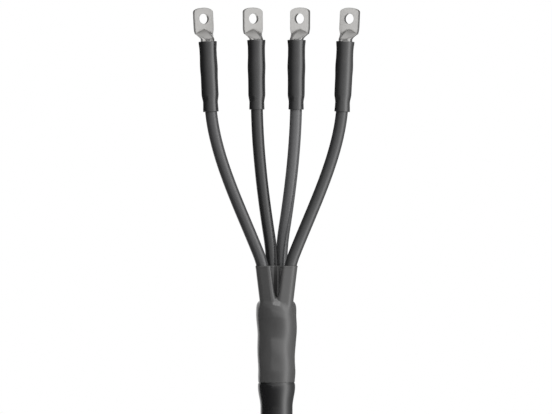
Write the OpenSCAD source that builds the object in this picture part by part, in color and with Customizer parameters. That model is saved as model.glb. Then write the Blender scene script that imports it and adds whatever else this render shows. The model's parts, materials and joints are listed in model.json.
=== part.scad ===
// Four-core heat-shrink cable termination, in millimetres.
// The origin is the centre of the cable's cut end, +Z runs up the cable, and -Y is the front.
// Legs and lugs are numbered 1 to 4 from left to right, as seen from the front.

/* [Cable] */
// Diameter of a stranded conductor
conductor_d = 7.6; // [6:0.1:9]
// Thickness of the insulation on a conductor
insulation_wall = 1.2; // [0.8:0.05:1.4]
// Filler left between neighbouring cores
core_web = 0.6; // [0.3:0.1:2]
// Filler left between the cores and the sheath
bedding_wall = 0.55; // [0.3:0.05:2]
// Wall of the outer sheath
sheath_wall = 2.2; // [1.4:0.05:3]
// Bare sheath between the cut end and the sheath sleeve
stub_len = 28; // [15:1:60]
// Depth to which the sheath is roughened where the sleeve is to hold
roughened_t = 0.3; // [0.2:0.05:0.6]
// Length of sheath that stands out of the top of the sheath sleeve
sheath_past_sleeve = 2; // [1:0.5:6]

/* [Sheath sleeve] */
// Wall of the sheath sleeve
sleeve_wall = 0.8; // [0.6:0.1:1.6]
// Thickness of the mastic band under the sleeve
mastic_t = 1.75; // [1:0.05:4]
// Length of the sleeve on the bare sheath, up to the foot of its step
sleeve_plain_len = 17; // [8:1:40]
// Length over which the sleeve climbs onto the mastic band
sleeve_climb_len = 20; // [10:1:30]
// Length of the sleeve on the mastic band
sleeve_top_len = 31; // [30:1:50]
// Height of the bead of mastic that the boot squeezes out below its lower edge
bead_t = 0.75; // [0.2:0.05:1.2]
// Length over which the bead falls away towards the boot's edge
bead_fall = 2.5; // [1.5:0.1:4]

/* [Breakout boot] */
// Length of the boot's skirt over the sheath sleeve
skirt_lap = 25.9; // [20:0.1:29]
// Wall of the skirt where it holds the sleeve
skirt_wall = 1; // [0.7:0.1:2]
// Wall of the skirt at its feathered lower edge
skirt_edge_wall = 0.45; // [0.3:0.05:0.7]
// Length of the feathered edge
skirt_edge_len = 12; // [6:0.5:18]
// Wall of the body above the sleeve
boot_wall = 2; // [1.4:0.1:2.4]
// Height of the boot from its lower edge to the finger mouths
boot_h = 116.4; // [108:0.1:140]
// Height of the crotch between the fingers above the lower edge
crotch_h = 85.2; // [82:0.1:95]
// Thickness of the web in the crotch
crotch_web = 8; // [5:0.5:10]
// Height above the lower edge where the shoulder starts to swell
swell_start_h = 41.7; // [35:0.1:48]
// Height above the lower edge of the widest part of the shoulder
shoulder_h = 65.9; // [62:0.1:72]
// Swell of the shoulder beyond the body
shoulder_swell = 1.7; // [0.5:0.05:3]
// Squareness of the shoulder's rounding
shoulder_power = 4; // [2:0.5:6]
// Wall of a finger
finger_wall = 1.8; // [1.4:0.05:2.2]
// Wall shared by the two rear fingers
finger_web = 0.7; // [0.6:0.1:3]
// Wall between the bores of the two front fingers at their roots
front_web = 2.5; // [1.5:0.1:5]
// Extra depth between the front fingers and the nearer rear finger
row_gap = 0.7; // [0.5:0.05:4]
// Angle by which the rear pair of fingers is turned out of the row
rear_skew = 40; // [20:0.5:45]
// Depth of the rear pair behind the cable's axis
rear_depth = 7.3; // [6:0.1:8]
// Lean of the front fingers away from the cable's axis, seen from the front
finger_lean = 6.8; // [4:0.1:9]
// Depth below the finger mouths at which the outer core tubes start to bend outwards
bend_drop = 11.6; // [7:0.1:12]

/* [Legs] */
// Wall of a core tube
tube_wall = 0.9; // [0.5:0.05:1.2]
// Height above the finger mouths at which the outer core tubes enter their lug sleeves
outer_rise = 153.7; // [120:0.1:220]
// Height above the finger mouths at which the inner core tubes enter their lug sleeves
inner_rise = 155.9; // [120:0.1:220]
// Distance between the outer legs at the lug sleeves
outer_span = 131.2; // [110:0.1:160]
// Distance between the inner legs at the lug sleeves
inner_span = 39.2; // [34:0.1:60]
// Radius of the bend in an outer core tube at the finger mouth
outer_bend_r = 92; // [70:1:150]
// Radius of the bend in an inner core tube above the finger mouth
inner_bend_r = 185; // [150:5:400]
// Lean of the outer core tubes above the bend, seen from the front
outer_climb = 21.8; // [19:0.1:26]
// Lean of the inner core tubes above the bend, seen from the front
inner_climb = 8.9; // [5:0.1:10]
// Lean of the outer core tubes where they enter the lug sleeves, seen from the front
outer_enter = 5.6; // [3:0.1:9]
// Lean of the inner core tubes where they enter the lug sleeves, seen from the front
inner_enter = 1.2; // [0.5:0.1:6]
// Length inside the lug sleeve over which a core tube straightens
enter_len = 8; // [5:0.5:9]
// Lean of the outer lugs away from the cable's axis
outer_tilt = 2.7; // [0:0.1:8]
// Lean of the inner lugs away from the cable's axis
inner_tilt = 0.5; // [0:0.1:4]

/* [Lug] */
// Outer diameter of the barrel
barrel_d = 13.7; // [12.6:0.1:16]
// Length of the round barrel
barrel_len = 54.6; // [48:0.1:70]
// Depth of the bore for the conductor
bore_depth = 46; // [30:0.5:47]
// Length over which the flattened neck widens into the palm
neck_len = 12.4; // [9:0.1:18]
// Length of the palm above the neck
palm_len = 19.7; // [18:0.1:30]
// Width of the palm
palm_w = 22; // [18:0.1:26]
// Thickness of the palm
palm_t = 3.2; // [2:0.1:5]
// Set-back of the palm's rear face behind the barrel
palm_set = 1.2; // [0:0.1:3]
// Drop of the palm's top edge from its middle to its corners
palm_corner = 4.4; // [2:0.1:8]
// Squareness of the palm's top corners
corner_power = 3.2; // [2:0.1:6]
// Diameter of the bolt hole
hole_d = 10.5; // [8.4:0.1:13]
// Distance from the top of the palm to the centre of the bolt hole
hole_drop = 11.1; // [9:0.1:14]
// Height of the pressing die's crest above the round barrel
crest_h = 10.4; // [7:0.1:12]
// Drop of the crest from its middle to its ends
crest_sag = 4.5; // [2:0.1:6]
// Turn of the palms towards the middle of the row
lug_turn = 32; // [0:1:45]
// Distance across the flats of the hexagonal crimps
crimp_flats = 13; // [11.6:0.1:13]
// Width of a crimp
crimp_w = 12; // [6:0.5:14]
// Distance from the barrel's mouth to the first crimp
crimp_start = 6; // [3:0.5:8]
// Distance from one crimp to the next
crimp_pitch = 30; // [16:0.5:30]

/* [Lug sleeve] */
// Wall of a lug sleeve
lug_sleeve_wall = 1.75; // [0.8:0.05:2.5]
// Length of core tube inside an outer lug sleeve
outer_tube_lap = 18; // [14:0.1:30]
// Length of core tube inside an inner lug sleeve
inner_tube_lap = 15.6; // [14:0.1:30]
// Length of lug barrel inside an outer lug sleeve
outer_barrel_cover = 52.4; // [45:0.1:54]
// Length of lug barrel inside an inner lug sleeve
inner_barrel_cover = 54.4; // [45:0.1:54.5]
// Length over which a lug sleeve climbs from the core tube to the barrel
lug_sleeve_climb = 8.5; // [5:0.5:10]
// Flare at the lower end of a lug sleeve
foot_flare = 0.15; // [0.05:0.05:1]
// Flare at the upper end of a lug sleeve
top_flare = 0.6; // [0:0.05:1]
// Length of each flare
flare_len = 9; // [6:0.5:12]
// Swell of a lug sleeve between the two crimps
crimp_swell = 0.35; // [0:0.05:0.8]

/* [Fits] */
// Clearance between pieces that are shrunk, pressed or laid together
fit = 0.05; // [0.02:0.01:0.2]
// Clearance between the ends of pieces that follow each other
end_gap = 0.3; // [0.1:0.05:1]

/* [Hidden] */
LEGS = [1, 2, 3, 4];
PER_LEG = ["conductor", "core_insulation", "core_tube", "lug", "lug_sleeve"];
SHARED = ["outer_sheath", "core_bedding", "mastic_band", "sheath_sleeve", "breakout_boot"];

// Facets and stations of the swept legs
round_fn = 96;
hull_fn = 32;
conductor_sides = 10;
insulation_sides = 12;
tube_sides = 24;
part_stations = 6;
bend_stations = 4;
rise_stations = 9;
enter_stations = 2;
profile_steps = 24;
// Length by which a cut runs past the face that it opens, and a seat by which two forms overlap
past = 5;
sink = 0.1;
// Length by which one cut runs into the next
overrun = 1;

// Radii, from the conductor outwards
conductor_r = conductor_d / 2;
core_r = conductor_r + fit + insulation_wall;
tube_r = core_r + fit + tube_wall;
finger_r = tube_r + fit + finger_wall;
core_half = core_r + fit + core_web / 2;
bedding_r = core_half * sqrt(2) + core_r + fit + bedding_wall;
sheath_r = bedding_r + fit + sheath_wall;
rough_r = sheath_r - roughened_t;
sleeve_in_r = rough_r + fit;
sleeve_step = mastic_t + fit;
skirt_in_r = sleeve_in_r + sleeve_step + sleeve_wall + fit;
barrel_r = barrel_d / 2;

// Heights, from the cut end upwards
rough_z = stub_len - end_gap;
climb_z = stub_len + sleeve_plain_len;
sleeve_top_z = climb_z + sleeve_climb_len + sleeve_top_len;
sheath_top_z = sleeve_top_z + sheath_past_sleeve;
part_z = sheath_top_z + end_gap;
boot_z = sleeve_top_z - skirt_lap;
shoulder_z = boot_z + shoulder_h;
splay_z = shoulder_z;
crotch_z = boot_z + crotch_h;
mouth_z = boot_z + boot_h;
// The mastic starts a quarter of the way up the sleeve's step, where it is thick enough to hold
mastic_z = climb_z + sleeve_climb_len / 4;

// Places of the fingers' axes at their roots
finger_pitch = 2 * (tube_r + fit) + finger_web;
rear_x = finger_pitch / 2 * cos(rear_skew);
rear_dy = finger_pitch / 2 * sin(rear_skew);
front_x = tube_r + fit + front_web / 2;
front_y = rear_depth - rear_dy - finger_pitch - row_gap;

// Lug sizes that follow from the others
lug_len = barrel_len + neck_len + palm_len;
neck_inset = palm_w / 2 - barrel_r;
neck_side_r = (pow(neck_inset, 2) + pow(neck_len, 2)) / (2 * neck_inset);
crest_foot_z = barrel_len + crest_h - crest_sag;
crest_below_full = barrel_len + neck_len - crest_foot_z;
crest_half = palm_w / 2 - neck_side_r + sqrt(pow(neck_side_r, 2) - pow(crest_below_full, 2));
crest_r = (pow(crest_half, 2) + pow(crest_sag, 2)) / (2 * crest_sag);

function ease(t) = t <= 0 ? 0 : t >= 1 ? 1 : t * t * (3 - 2 * t);
function bump(t) = abs(t) >= 1 ? 0 : (1 + cos(180 * t)) / 2;
function unit(v) = v / norm(v);

// Facts about one leg: the two outer ones come from the front fingers, the inner ones from the rear
function is_outer(i) = i == 1 || i == 4;
function side(i) = i <= 2 ? -1 : 1;
function core_xy(i) = core_half * [side(i), is_outer(i) ? -1 : 1];
function root_xy(i) = is_outer(i) ? [side(i) * front_x, front_y] : [side(i) * rear_x, rear_depth + side(i) * rear_dy];
function lug_xy(i) = [side(i) * (is_outer(i) ? outer_span : inner_span) / 2, 0];
function reach(i) = norm(lug_xy(i) - root_xy(i));
function heading(i) = (lug_xy(i) - root_xy(i)) / reach(i);
function azimuth(i) = atan2(heading(i)[1], heading(i)[0]);
function tilt(i) = is_outer(i) ? outer_tilt : inner_tilt;
function sleeve_z(i) = mouth_z + (is_outer(i) ? outer_rise : inner_rise);
function tube_lap(i) = is_outer(i) ? outer_tube_lap : inner_tube_lap;
function barrel_cover(i) = is_outer(i) ? outer_barrel_cover : inner_barrel_cover;
// A lean that is given as seen from the front, in the upright plane of a leg
function leg_lean(i, lean) = atan(tan(lean) * reach(i) / abs(lug_xy(i)[0] - root_xy(i)[0]));
function root_lean(i) = is_outer(i) ? leg_lean(i, finger_lean) : 0;
function climb_lean(i) = leg_lean(i, is_outer(i) ? outer_climb : inner_climb);
function enter_lean(i) = leg_lean(i, is_outer(i) ? outer_enter : inner_enter);
function bend_r(i) = is_outer(i) ? outer_bend_r : inner_bend_r;
function bend_z(i) = is_outer(i) ? mouth_z - bend_drop : mouth_z;
function bend_out(i) = (bend_z(i) - splay_z) * tan(root_lean(i));

// A station is a point on a leg's axis and the direction of the axis there
function station(i, out, z, lean) = [
    concat(root_xy(i) + heading(i) * out, z),
    concat(heading(i) * sin(lean), cos(lean)),
];

// Inside the boot a core moves from its place in the cable to its finger's root
function part_station(i, t) =
    let(
        shift = root_xy(i) - core_xy(i),
        height = splay_z - part_z,
        leave = heading(i) * tan(root_lean(i)),
        slope = shift / height * 6 * t * (1 - t) + leave * t * (3 * t - 2)
    )
    [
        concat(core_xy(i) + shift * ease(t) - leave * height * t * t * (1 - t), part_z + height * t),
        unit(concat(slope, 1)),
    ];

// Near the finger's mouth the axis bends outwards along an arc
function bend_station(i, t) =
    let(from = root_lean(i), lean = from + (climb_lean(i) - from) * t)
    station(
        i,
        bend_out(i) + bend_r(i) * (cos(from) - cos(lean)),
        bend_z(i) + bend_r(i) * (sin(lean) - sin(from)),
        lean
    );

// Just inside the lug sleeve the axis comes into line with the lug
function enter_turn(i) = tan(enter_lean(i) - tilt(i));
function enter_station(i, along) =
    let(left = enter_len - along, aside = enter_turn(i) * left * left / (2 * enter_len))
    station(
        i,
        reach(i) + along * sin(tilt(i)) - aside * cos(tilt(i)),
        sleeve_z(i) + along * cos(tilt(i)) + aside * sin(tilt(i)),
        tilt(i) + atan(enter_turn(i) * left / enter_len)
    );

// Between the two the axis is a cubic that carries on from the bend and meets the lug sleeve
function rise_station(i, t) =
    let(
        foot_z = bend_z(i) + bend_r(i) * (sin(climb_lean(i)) - sin(root_lean(i))),
        foot_out = bend_out(i) + bend_r(i) * (cos(root_lean(i)) - cos(climb_lean(i))),
        aside = enter_turn(i) * enter_len / 2,
        height = sleeve_z(i) + aside * sin(tilt(i)) - foot_z,
        leave = height * tan(climb_lean(i)),
        arrive = height * tan(enter_lean(i)),
        gain = reach(i) - aside * cos(tilt(i)) - foot_out,
        out = foot_out + gain * ease(t) + leave * t * pow(1 - t, 2) - arrive * t * t * (1 - t),
        slope = gain * 6 * t * (1 - t) + leave * (1 - t) * (1 - 3 * t) - arrive * t * (2 - 3 * t)
    )
    station(i, out, foot_z + height * t, atan(slope / height));

// Inside the lug sleeve and the lug the axis is straight
function end_station(i, along) =
    station(i, reach(i) + along * sin(tilt(i)), sleeve_z(i) + along * cos(tilt(i)), tilt(i));

function cable_stations(i) = concat(
    [[concat(core_xy(i), 0), [0, 0, 1]]],
    [for (k = [0 : part_stations - 1]) part_station(i, k / part_stations)]
);
function leg_stations(i, along) = concat(
    [station(i, 0, splay_z, root_lean(i))],
    [for (k = [0 : bend_stations - 1]) bend_station(i, k / bend_stations)],
    [for (k = [0 : rise_stations - 1]) rise_station(i, k / rise_stations)],
    [for (k = [0 : enter_stations - 1]) enter_station(i, enter_len * k / enter_stations)],
    [end_station(i, enter_len), end_station(i, along)]
);

// One ring of points round a station, and all rings of a swept surface in one list
function ring(at, r, sides) =
    let(across = unit(cross([0, 1, 0], at[1])), depth = cross(at[1], across))
    [for (k = [0 : sides - 1]) at[0] + r * (across * cos(360 * k / sides) + depth * sin(360 * k / sides))];
function rings(stations, r, sides) = [for (at = stations) each ring(at, r, sides)];

// Two triangles for each quad of a wall between neighbouring rings, turned inwards for a bore
function wall_faces(first, count, sides, inwards) = [
    for (j = [0 : count - 2])
        for (k = [0 : sides - 1])
            let(
                next = (k + 1) % sides,
                a = first + j * sides + k,
                b = first + j * sides + next,
                c = b + sides,
                d = a + sides
            )
            each inwards ? [[a, b, c], [a, c, d]] : [[a, c, b], [a, d, c]]
];
// Two triangles for each quad of the flat ring between an outer and an inner ring of points
function rim_faces(outer, inner, sides, upwards) = [
    for (k = [0 : sides - 1])
        let(
            next = (k + 1) % sides,
            a = outer + k,
            b = outer + next,
            c = inner + next,
            d = inner + k
        )
        each upwards ? [[a, c, b], [a, d, c]] : [[a, b, c], [a, c, d]]
];

module swept_rod(stations, r, sides) {
    count = len(stations);
    top = (count - 1) * sides;
    lower_end = [for (k = [0 : sides - 1]) k];
    upper_end = [for (k = [0 : sides - 1]) top + sides - 1 - k];
    polyhedron(rings(stations, r, sides), concat(wall_faces(0, count, sides, false), [lower_end, upper_end]));
}

// The bore's flats, not its corners, keep the given inner radius
module swept_tube(stations, outer_r, inner_r, sides) {
    count = len(stations);
    bore = count * sides;
    last = (count - 1) * sides;
    polyhedron(
        concat(rings(stations, outer_r, sides), rings(stations, inner_r / cos(180 / sides), sides)),
        concat(
            wall_faces(0, count, sides, false),
            wall_faces(bore, count, sides, true),
            rim_faces(0, bore, sides, false),
            rim_faces(last, bore + last, sides, true)
        )
    );
}

// Stands children on a leg's axis at the foot of its lug sleeve
module at_sleeve(i) {
    translate(concat(lug_xy(i), sleeve_z(i)))
        rotate([0, 0, azimuth(i)])
            rotate([0, tilt(i), 0])
                children();
}

module outer_sheath() {
    color("#232326")
        difference() {
            union() {
                cylinder(r = sheath_r, h = rough_z, $fn = round_fn);
                cylinder(r = rough_r, h = sheath_top_z, $fn = round_fn);
            }
            translate([0, 0, -past])
                cylinder(r = bedding_r + fit, h = sheath_top_z + 2 * past, $fn = round_fn);
        }
}

module core_bedding() {
    color("#9a9a96")
        difference() {
            cylinder(r = bedding_r, h = sheath_top_z, $fn = round_fn);
            for (i = LEGS)
                translate(concat(core_xy(i), -past))
                    cylinder(r = core_r + fit, h = sheath_top_z + 2 * past, $fn = round_fn);
        }
}

module conductor(i) {
    stop = tube_lap(i) + bore_depth - end_gap;
    color("#c9c9c6")
        swept_rod(concat(cable_stations(i), leg_stations(i, stop)), conductor_r, conductor_sides);
}

module core_insulation(i) {
    stop = tube_lap(i) - end_gap;
    stations = concat(cable_stations(i), leg_stations(i, stop));
    color("#d6d5d0")
        swept_tube(stations, core_r, conductor_r + fit, insulation_sides);
}

module core_tube(i) {
    stop = tube_lap(i) - end_gap;
    color("#38383a")
        swept_tube(leg_stations(i, stop), tube_r, core_r + fit, tube_sides);
}

// Bore of the sheath sleeve at a height above the foot of its step: it climbs onto the bead of mastic
// and falls from there to the boot's edge
step_h = boot_z - climb_z;
fall_h = step_h - end_gap - bead_fall;
function sleeve_bore(h) =
    let(climb = ease(h / sleeve_climb_len), fall = ease((h - fall_h) / bead_fall))
    sleeve_in_r + (sleeve_step + bead_t) * climb - bead_t * fall;
sleeve_steps = [for (k = [0 : 2 * profile_steps]) step_h * k / (2 * profile_steps)];

module sheath_sleeve() {
    bore = [for (h = sleeve_steps) [sleeve_bore(h), climb_z + h]];
    skin = [for (p = bore) p + [sleeve_wall, 0]];
    outline = concat(
        [[sleeve_in_r, stub_len]],
        bore,
        [[sleeve_bore(step_h), sleeve_top_z]],
        [[sleeve_bore(step_h) + sleeve_wall, sleeve_top_z]],
        [for (k = [len(skin) - 1 : -1 : 0]) skin[k]],
        [[sleeve_in_r + sleeve_wall, stub_len]]
    );
    color("#1b1b1d")
        rotate_extrude($fn = round_fn)
            polygon(outline);
}

module mastic_band() {
    foot = mastic_z - climb_z;
    band_top = sleeve_top_z - end_gap;
    skin = [for (h = sleeve_steps) if (h >= foot) [sleeve_bore(h) - fit, climb_z + h]];
    outline = concat(
        skin,
        [[sleeve_bore(step_h) - fit, band_top]],
        [[rough_r + fit, band_top]],
        [[rough_r + fit, skin[0][1]]]
    );
    color("#5a5148")
        rotate_extrude($fn = round_fn)
            polygon(outline);
}

// Outer radius of the boot's body below the shoulder's rounding
function body_r(z) =
    let(
        feather = (skirt_wall - skirt_edge_wall) * (1 - ease((z - boot_z) / skirt_edge_len)),
        swell = shoulder_swell * ease((z - boot_z - swell_start_h) / (shoulder_h - swell_start_h))
    )
    skirt_in_r + skirt_wall - feather + swell;

// Half outline of a shoulder that is rounded as a superellipse from a radius up to a crown
function shoulder(r, foot_z, crown_z) = [
    for (k = [0 : profile_steps])
        let(t = 90 * k / profile_steps, p = 2 / shoulder_power)
        [r * pow(cos(t), p), foot_z + (crown_z - foot_z) * pow(sin(t), p)]
];

module boot_body() {
    wall = [
        for (k = [0 : profile_steps - 1])
            let(z = boot_z + shoulder_h * k / profile_steps)
            [body_r(z), z]
    ];
    rotate_extrude($fn = round_fn)
        polygon(concat([[0, boot_z]], wall, shoulder(body_r(shoulder_z), shoulder_z, crotch_z)));
}

module boot_cavity() {
    ledge_z = sleeve_top_z + end_gap;
    foot_z = shoulder_z - boot_wall;
    wall = [
        for (k = [0 : profile_steps - 1])
            let(z = ledge_z + (foot_z - ledge_z) * k / profile_steps)
            [body_r(z) - boot_wall, z]
    ];
    crown = shoulder(body_r(foot_z) - boot_wall, foot_z, crotch_z - crotch_web);
    skirt = [[0, boot_z - past], [skirt_in_r, boot_z - past], [skirt_in_r, ledge_z]];
    rotate_extrude($fn = round_fn)
        polygon(concat(skirt, wall, crown));
}

// Stands children on a finger's axis at its root, leaning as the finger does
module at_root(i) {
    translate(concat(root_xy(i), splay_z))
        rotate([0, 0, azimuth(i)])
            rotate([0, root_lean(i), 0])
                children();
}

// A finger's bore: up from the cavity, and round the bend in a front finger, where it fits more closely
module finger_bore(i) {
    bore_r = tube_r + fit;
    straight = (bend_z(i) - splay_z) / cos(root_lean(i));
    if (is_outer(i))
        at_root(i) {
            translate([0, 0, -past])
                cylinder(r = bore_r + fit, h = past + straight + overrun, $fn = round_fn);
            translate([bend_r(i), 0, straight])
                rotate([90, 0, 180])
                    rotate_extrude(angle = climb_lean(i) - root_lean(i), $fn = 4 * round_fn)
                        translate([bend_r(i), 0])
                            circle(r = bore_r, $fn = round_fn);
        }
    else
        at_root(i)
            translate([0, 0, -past])
                cylinder(r = bore_r, h = straight + 2 * past, $fn = round_fn);
}

module below_mouth() {
    size = 4 * body_r(shoulder_z);
    translate([-size / 2, -size / 2, 0])
        cube([size, size, mouth_z]);
}

module breakout_boot() {
    color("#4b4b4d")
        difference() {
            union() {
                boot_body();
                for (i = LEGS)
                    intersection() {
                        at_root(i)
                            cylinder(r = finger_r, h = mouth_z - splay_z + 2 * finger_r, $fn = round_fn);
                        below_mouth();
                    }
            }
            boot_cavity();
            for (i = LEGS)
                finger_bore(i);
        }
}

// Outline of the lug's flat part, seen from the front with the barrel's mouth at the bottom
module palm_outline() {
    full_z = barrel_len + neck_len;
    half = palm_w / 2;
    p = 2 / corner_power;
    top = [
        for (k = [-profile_steps / 2 : profile_steps / 2])
            let(t = 180 * k / profile_steps)
            [half * sign(k) * pow(abs(sin(t)), p), lug_len - palm_corner * (1 - pow(max(cos(t), 0), p))]
    ];
    intersection() {
        polygon(concat(top, [[half, crest_foot_z], [-half, crest_foot_z]]));
        union() {
            intersection_for(s = [-1, 1])
                translate([s * (neck_side_r - palm_w / 2), full_z])
                    circle(r = neck_side_r, $fn = round_fn);
            translate([-palm_w, full_z])
                square([2 * palm_w, palm_len]);
        }
    }
}

// The arched crest that the pressing die leaves across the foot of the palm
module crest_outline() {
    intersection() {
        translate([0, crest_foot_z + crest_sag - crest_r])
            circle(r = crest_r, $fn = 2 * hull_fn);
        translate([-palm_w, crest_foot_z])
            square([2 * palm_w, crest_sag + past]);
    }
}

// Stands a flat outline upright at the back of the barrel, with its faces sunk by the given amount
module upright(inset) {
    translate([0, barrel_r + palm_set - inset, 0])
        rotate([90, 0, 0])
            linear_extrude(palm_t - 2 * inset)
                children();
}

module crimp() {
    difference() {
        cylinder(r = barrel_d, h = crimp_w, $fn = round_fn);
        translate([0, 0, -past])
            cylinder(r = crimp_flats / sqrt(3), h = crimp_w + 2 * past, $fn = 6);
    }
}

// A tube pressed flat at one end: round barrel, sloping neck and drilled palm
module lug_form() {
    difference() {
        union() {
            cylinder(r = barrel_r, h = barrel_len, $fn = round_fn);
            upright(0)
                palm_outline();
            hull() {
                upright(sink)
                    crest_outline();
                translate([0, 0, barrel_len - sink])
                    cylinder(r = barrel_r - sink, h = sink, $fn = hull_fn);
            }
        }
        translate([0, 0, -past])
            cylinder(r = conductor_r + fit, h = bore_depth + past, $fn = round_fn);
        for (k = [0, 1])
            translate([0, 0, crimp_start + k * crimp_pitch])
                crimp();
        translate([0, barrel_r + palm_set + past, lug_len - hole_drop])
            rotate([90, 0, 0])
                cylinder(d = hole_d, h = palm_t + 2 * past, $fn = round_fn);
    }
}

module lug(i) {
    color("#c3c2c3")
        at_sleeve(i)
            translate([0, 0, tube_lap(i)])
                rotate([0, 0, -side(i) * lug_turn - azimuth(i)])
                    lug_form();
}

// Bore of a lug sleeve at a height above its foot
function lug_sleeve_bore(i, h) =
    let(
        length = tube_lap(i) + barrel_cover(i),
        climb = ease((h - tube_lap(i) + end_gap) / lug_sleeve_climb + 1),
        foot = (foot_flare + enter_turn(i) * enter_len / 2) * (1 - ease(h / flare_len)),
        top = top_flare * ease((h - length) / flare_len + 1),
        middle = tube_lap(i) + crimp_start + (crimp_w + crimp_pitch) / 2,
        swell = crimp_swell * bump((h - middle) / crimp_w)
    )
    tube_r + fit + (barrel_r - tube_r) * climb + foot + top + swell;

module lug_sleeve(i) {
    length = tube_lap(i) + barrel_cover(i);
    steps = 2 * profile_steps;
    bore = [for (k = [0 : steps]) let(h = length * k / steps) [lug_sleeve_bore(i, h), h]];
    skin = [for (k = [steps : -1 : 0]) bore[k] + [lug_sleeve_wall, 0]];
    color("#2a2a2c")
        at_sleeve(i)
            rotate_extrude($fn = round_fn)
                polygon(concat(bore, skin));
}

outer_sheath();
core_bedding();
mastic_band();
sheath_sleeve();
breakout_boot();
for (i = LEGS) {
    conductor(i);
    core_insulation(i);
    core_tube(i);
    lug(i);
    lug_sleeve(i);
}
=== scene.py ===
"""Dresses the solids of a four-core heat-shrink cable termination, as an add-on that is run as a script."""

import json
from math import cos, pi, radians, sin, tan

import bmesh
import bpy
import numpy as np
from bpy.props import FloatProperty, FloatVectorProperty, PointerProperty
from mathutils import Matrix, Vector


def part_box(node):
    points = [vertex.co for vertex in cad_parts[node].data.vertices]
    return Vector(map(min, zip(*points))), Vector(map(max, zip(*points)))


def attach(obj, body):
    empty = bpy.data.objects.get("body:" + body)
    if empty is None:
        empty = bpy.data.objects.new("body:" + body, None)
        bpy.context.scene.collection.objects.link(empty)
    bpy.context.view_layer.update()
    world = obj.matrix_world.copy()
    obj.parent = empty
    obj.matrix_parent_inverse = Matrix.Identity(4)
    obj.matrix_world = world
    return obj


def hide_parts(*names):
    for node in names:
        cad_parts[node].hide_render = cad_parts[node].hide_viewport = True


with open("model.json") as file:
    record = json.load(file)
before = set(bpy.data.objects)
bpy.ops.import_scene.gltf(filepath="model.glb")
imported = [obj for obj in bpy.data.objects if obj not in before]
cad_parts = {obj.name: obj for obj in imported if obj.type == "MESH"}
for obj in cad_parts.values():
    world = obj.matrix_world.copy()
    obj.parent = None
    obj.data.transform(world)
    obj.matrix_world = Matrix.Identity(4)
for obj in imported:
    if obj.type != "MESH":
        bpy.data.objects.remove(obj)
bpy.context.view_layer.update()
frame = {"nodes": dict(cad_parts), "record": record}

bl_info = {
    "name": "Cable Termination",
    "version": (1, 0, 0),
    "blender": (4, 5, 0),
    "location": "View3D > Sidebar > Termination",
    "description": "Dresses a four-core heat-shrink cable termination and lights it",
    "category": "Add Mesh",
}

MM = 0.001
LEGS = (1, 2, 3, 4)
BODY = "root"
MOUNTS = {mount["name"]: mount for mount in frame["record"]["mounts"]}
BOOT_LOW, BOOT_HIGH = (corner.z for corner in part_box("breakout_boot"))
SLEEVE_LOW, SLEEVE_HIGH = (corner.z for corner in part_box("sheath_sleeve"))
SHEATH_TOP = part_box("outer_sheath")[1].z
UP = np.array((0, 0, 1))

# Points of a mesh that are closer than this are merged
MERGE = 1e-6
# Edges that turn by more than this are shown sharp
SMOOTH_ANGLE = radians(34)
# Points on the rounded rim of a tube's wall
RIM_STEPS = 7
# Points round a core tube and a finger's bore, and the distance between their rings
TUBE_SIDES, TUBE_STEP = 72, 1.5 * MM
# The same for the insulation, which is hidden but for its end
CORE_SIDES, CORE_STEP = 48, 3 * MM
# Corners of a grid cube, and its edges as pairs of corners
CORNERS = np.array([(i, j, k) for i in (0, 1) for j in (0, 1) for k in (0, 1)])
EDGES = np.array([
    (a, b) for a in range(8) for b in range(a, 8) if np.abs(CORNERS[a] - CORNERS[b]).sum() == 1
])
# Rounds of moves that bring points onto a level surface
SETTLE_ROUNDS = 3
# The offset that measures the slope there, and the longest move, in grid steps
NUDGE, LONGEST_MOVE = 0.02, 1 / 3
# The least squared slope that a move is worked out with
LEAST_SLOPE = 0.05


def length(name, description, millimetres):
    """A length property, with its default in millimetres."""
    return FloatProperty(
        name=name, description=description, default=millimetres * MM, unit="LENGTH", precision=5
    )


def angle(name, description, degrees):
    """An angle property, with its default in degrees."""
    return FloatProperty(name=name, description=description, default=radians(degrees), subtype="ANGLE")


def plain(name, description, value):
    """A property that is a number without a unit."""
    return FloatProperty(name=name, description=description, default=value, precision=4)


def colour(name, description, value):
    """A colour property, linear red, green and blue."""
    return FloatVectorProperty(
        name=name, description=description, default=value, subtype="COLOR", size=3, min=0, max=1
    )


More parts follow.
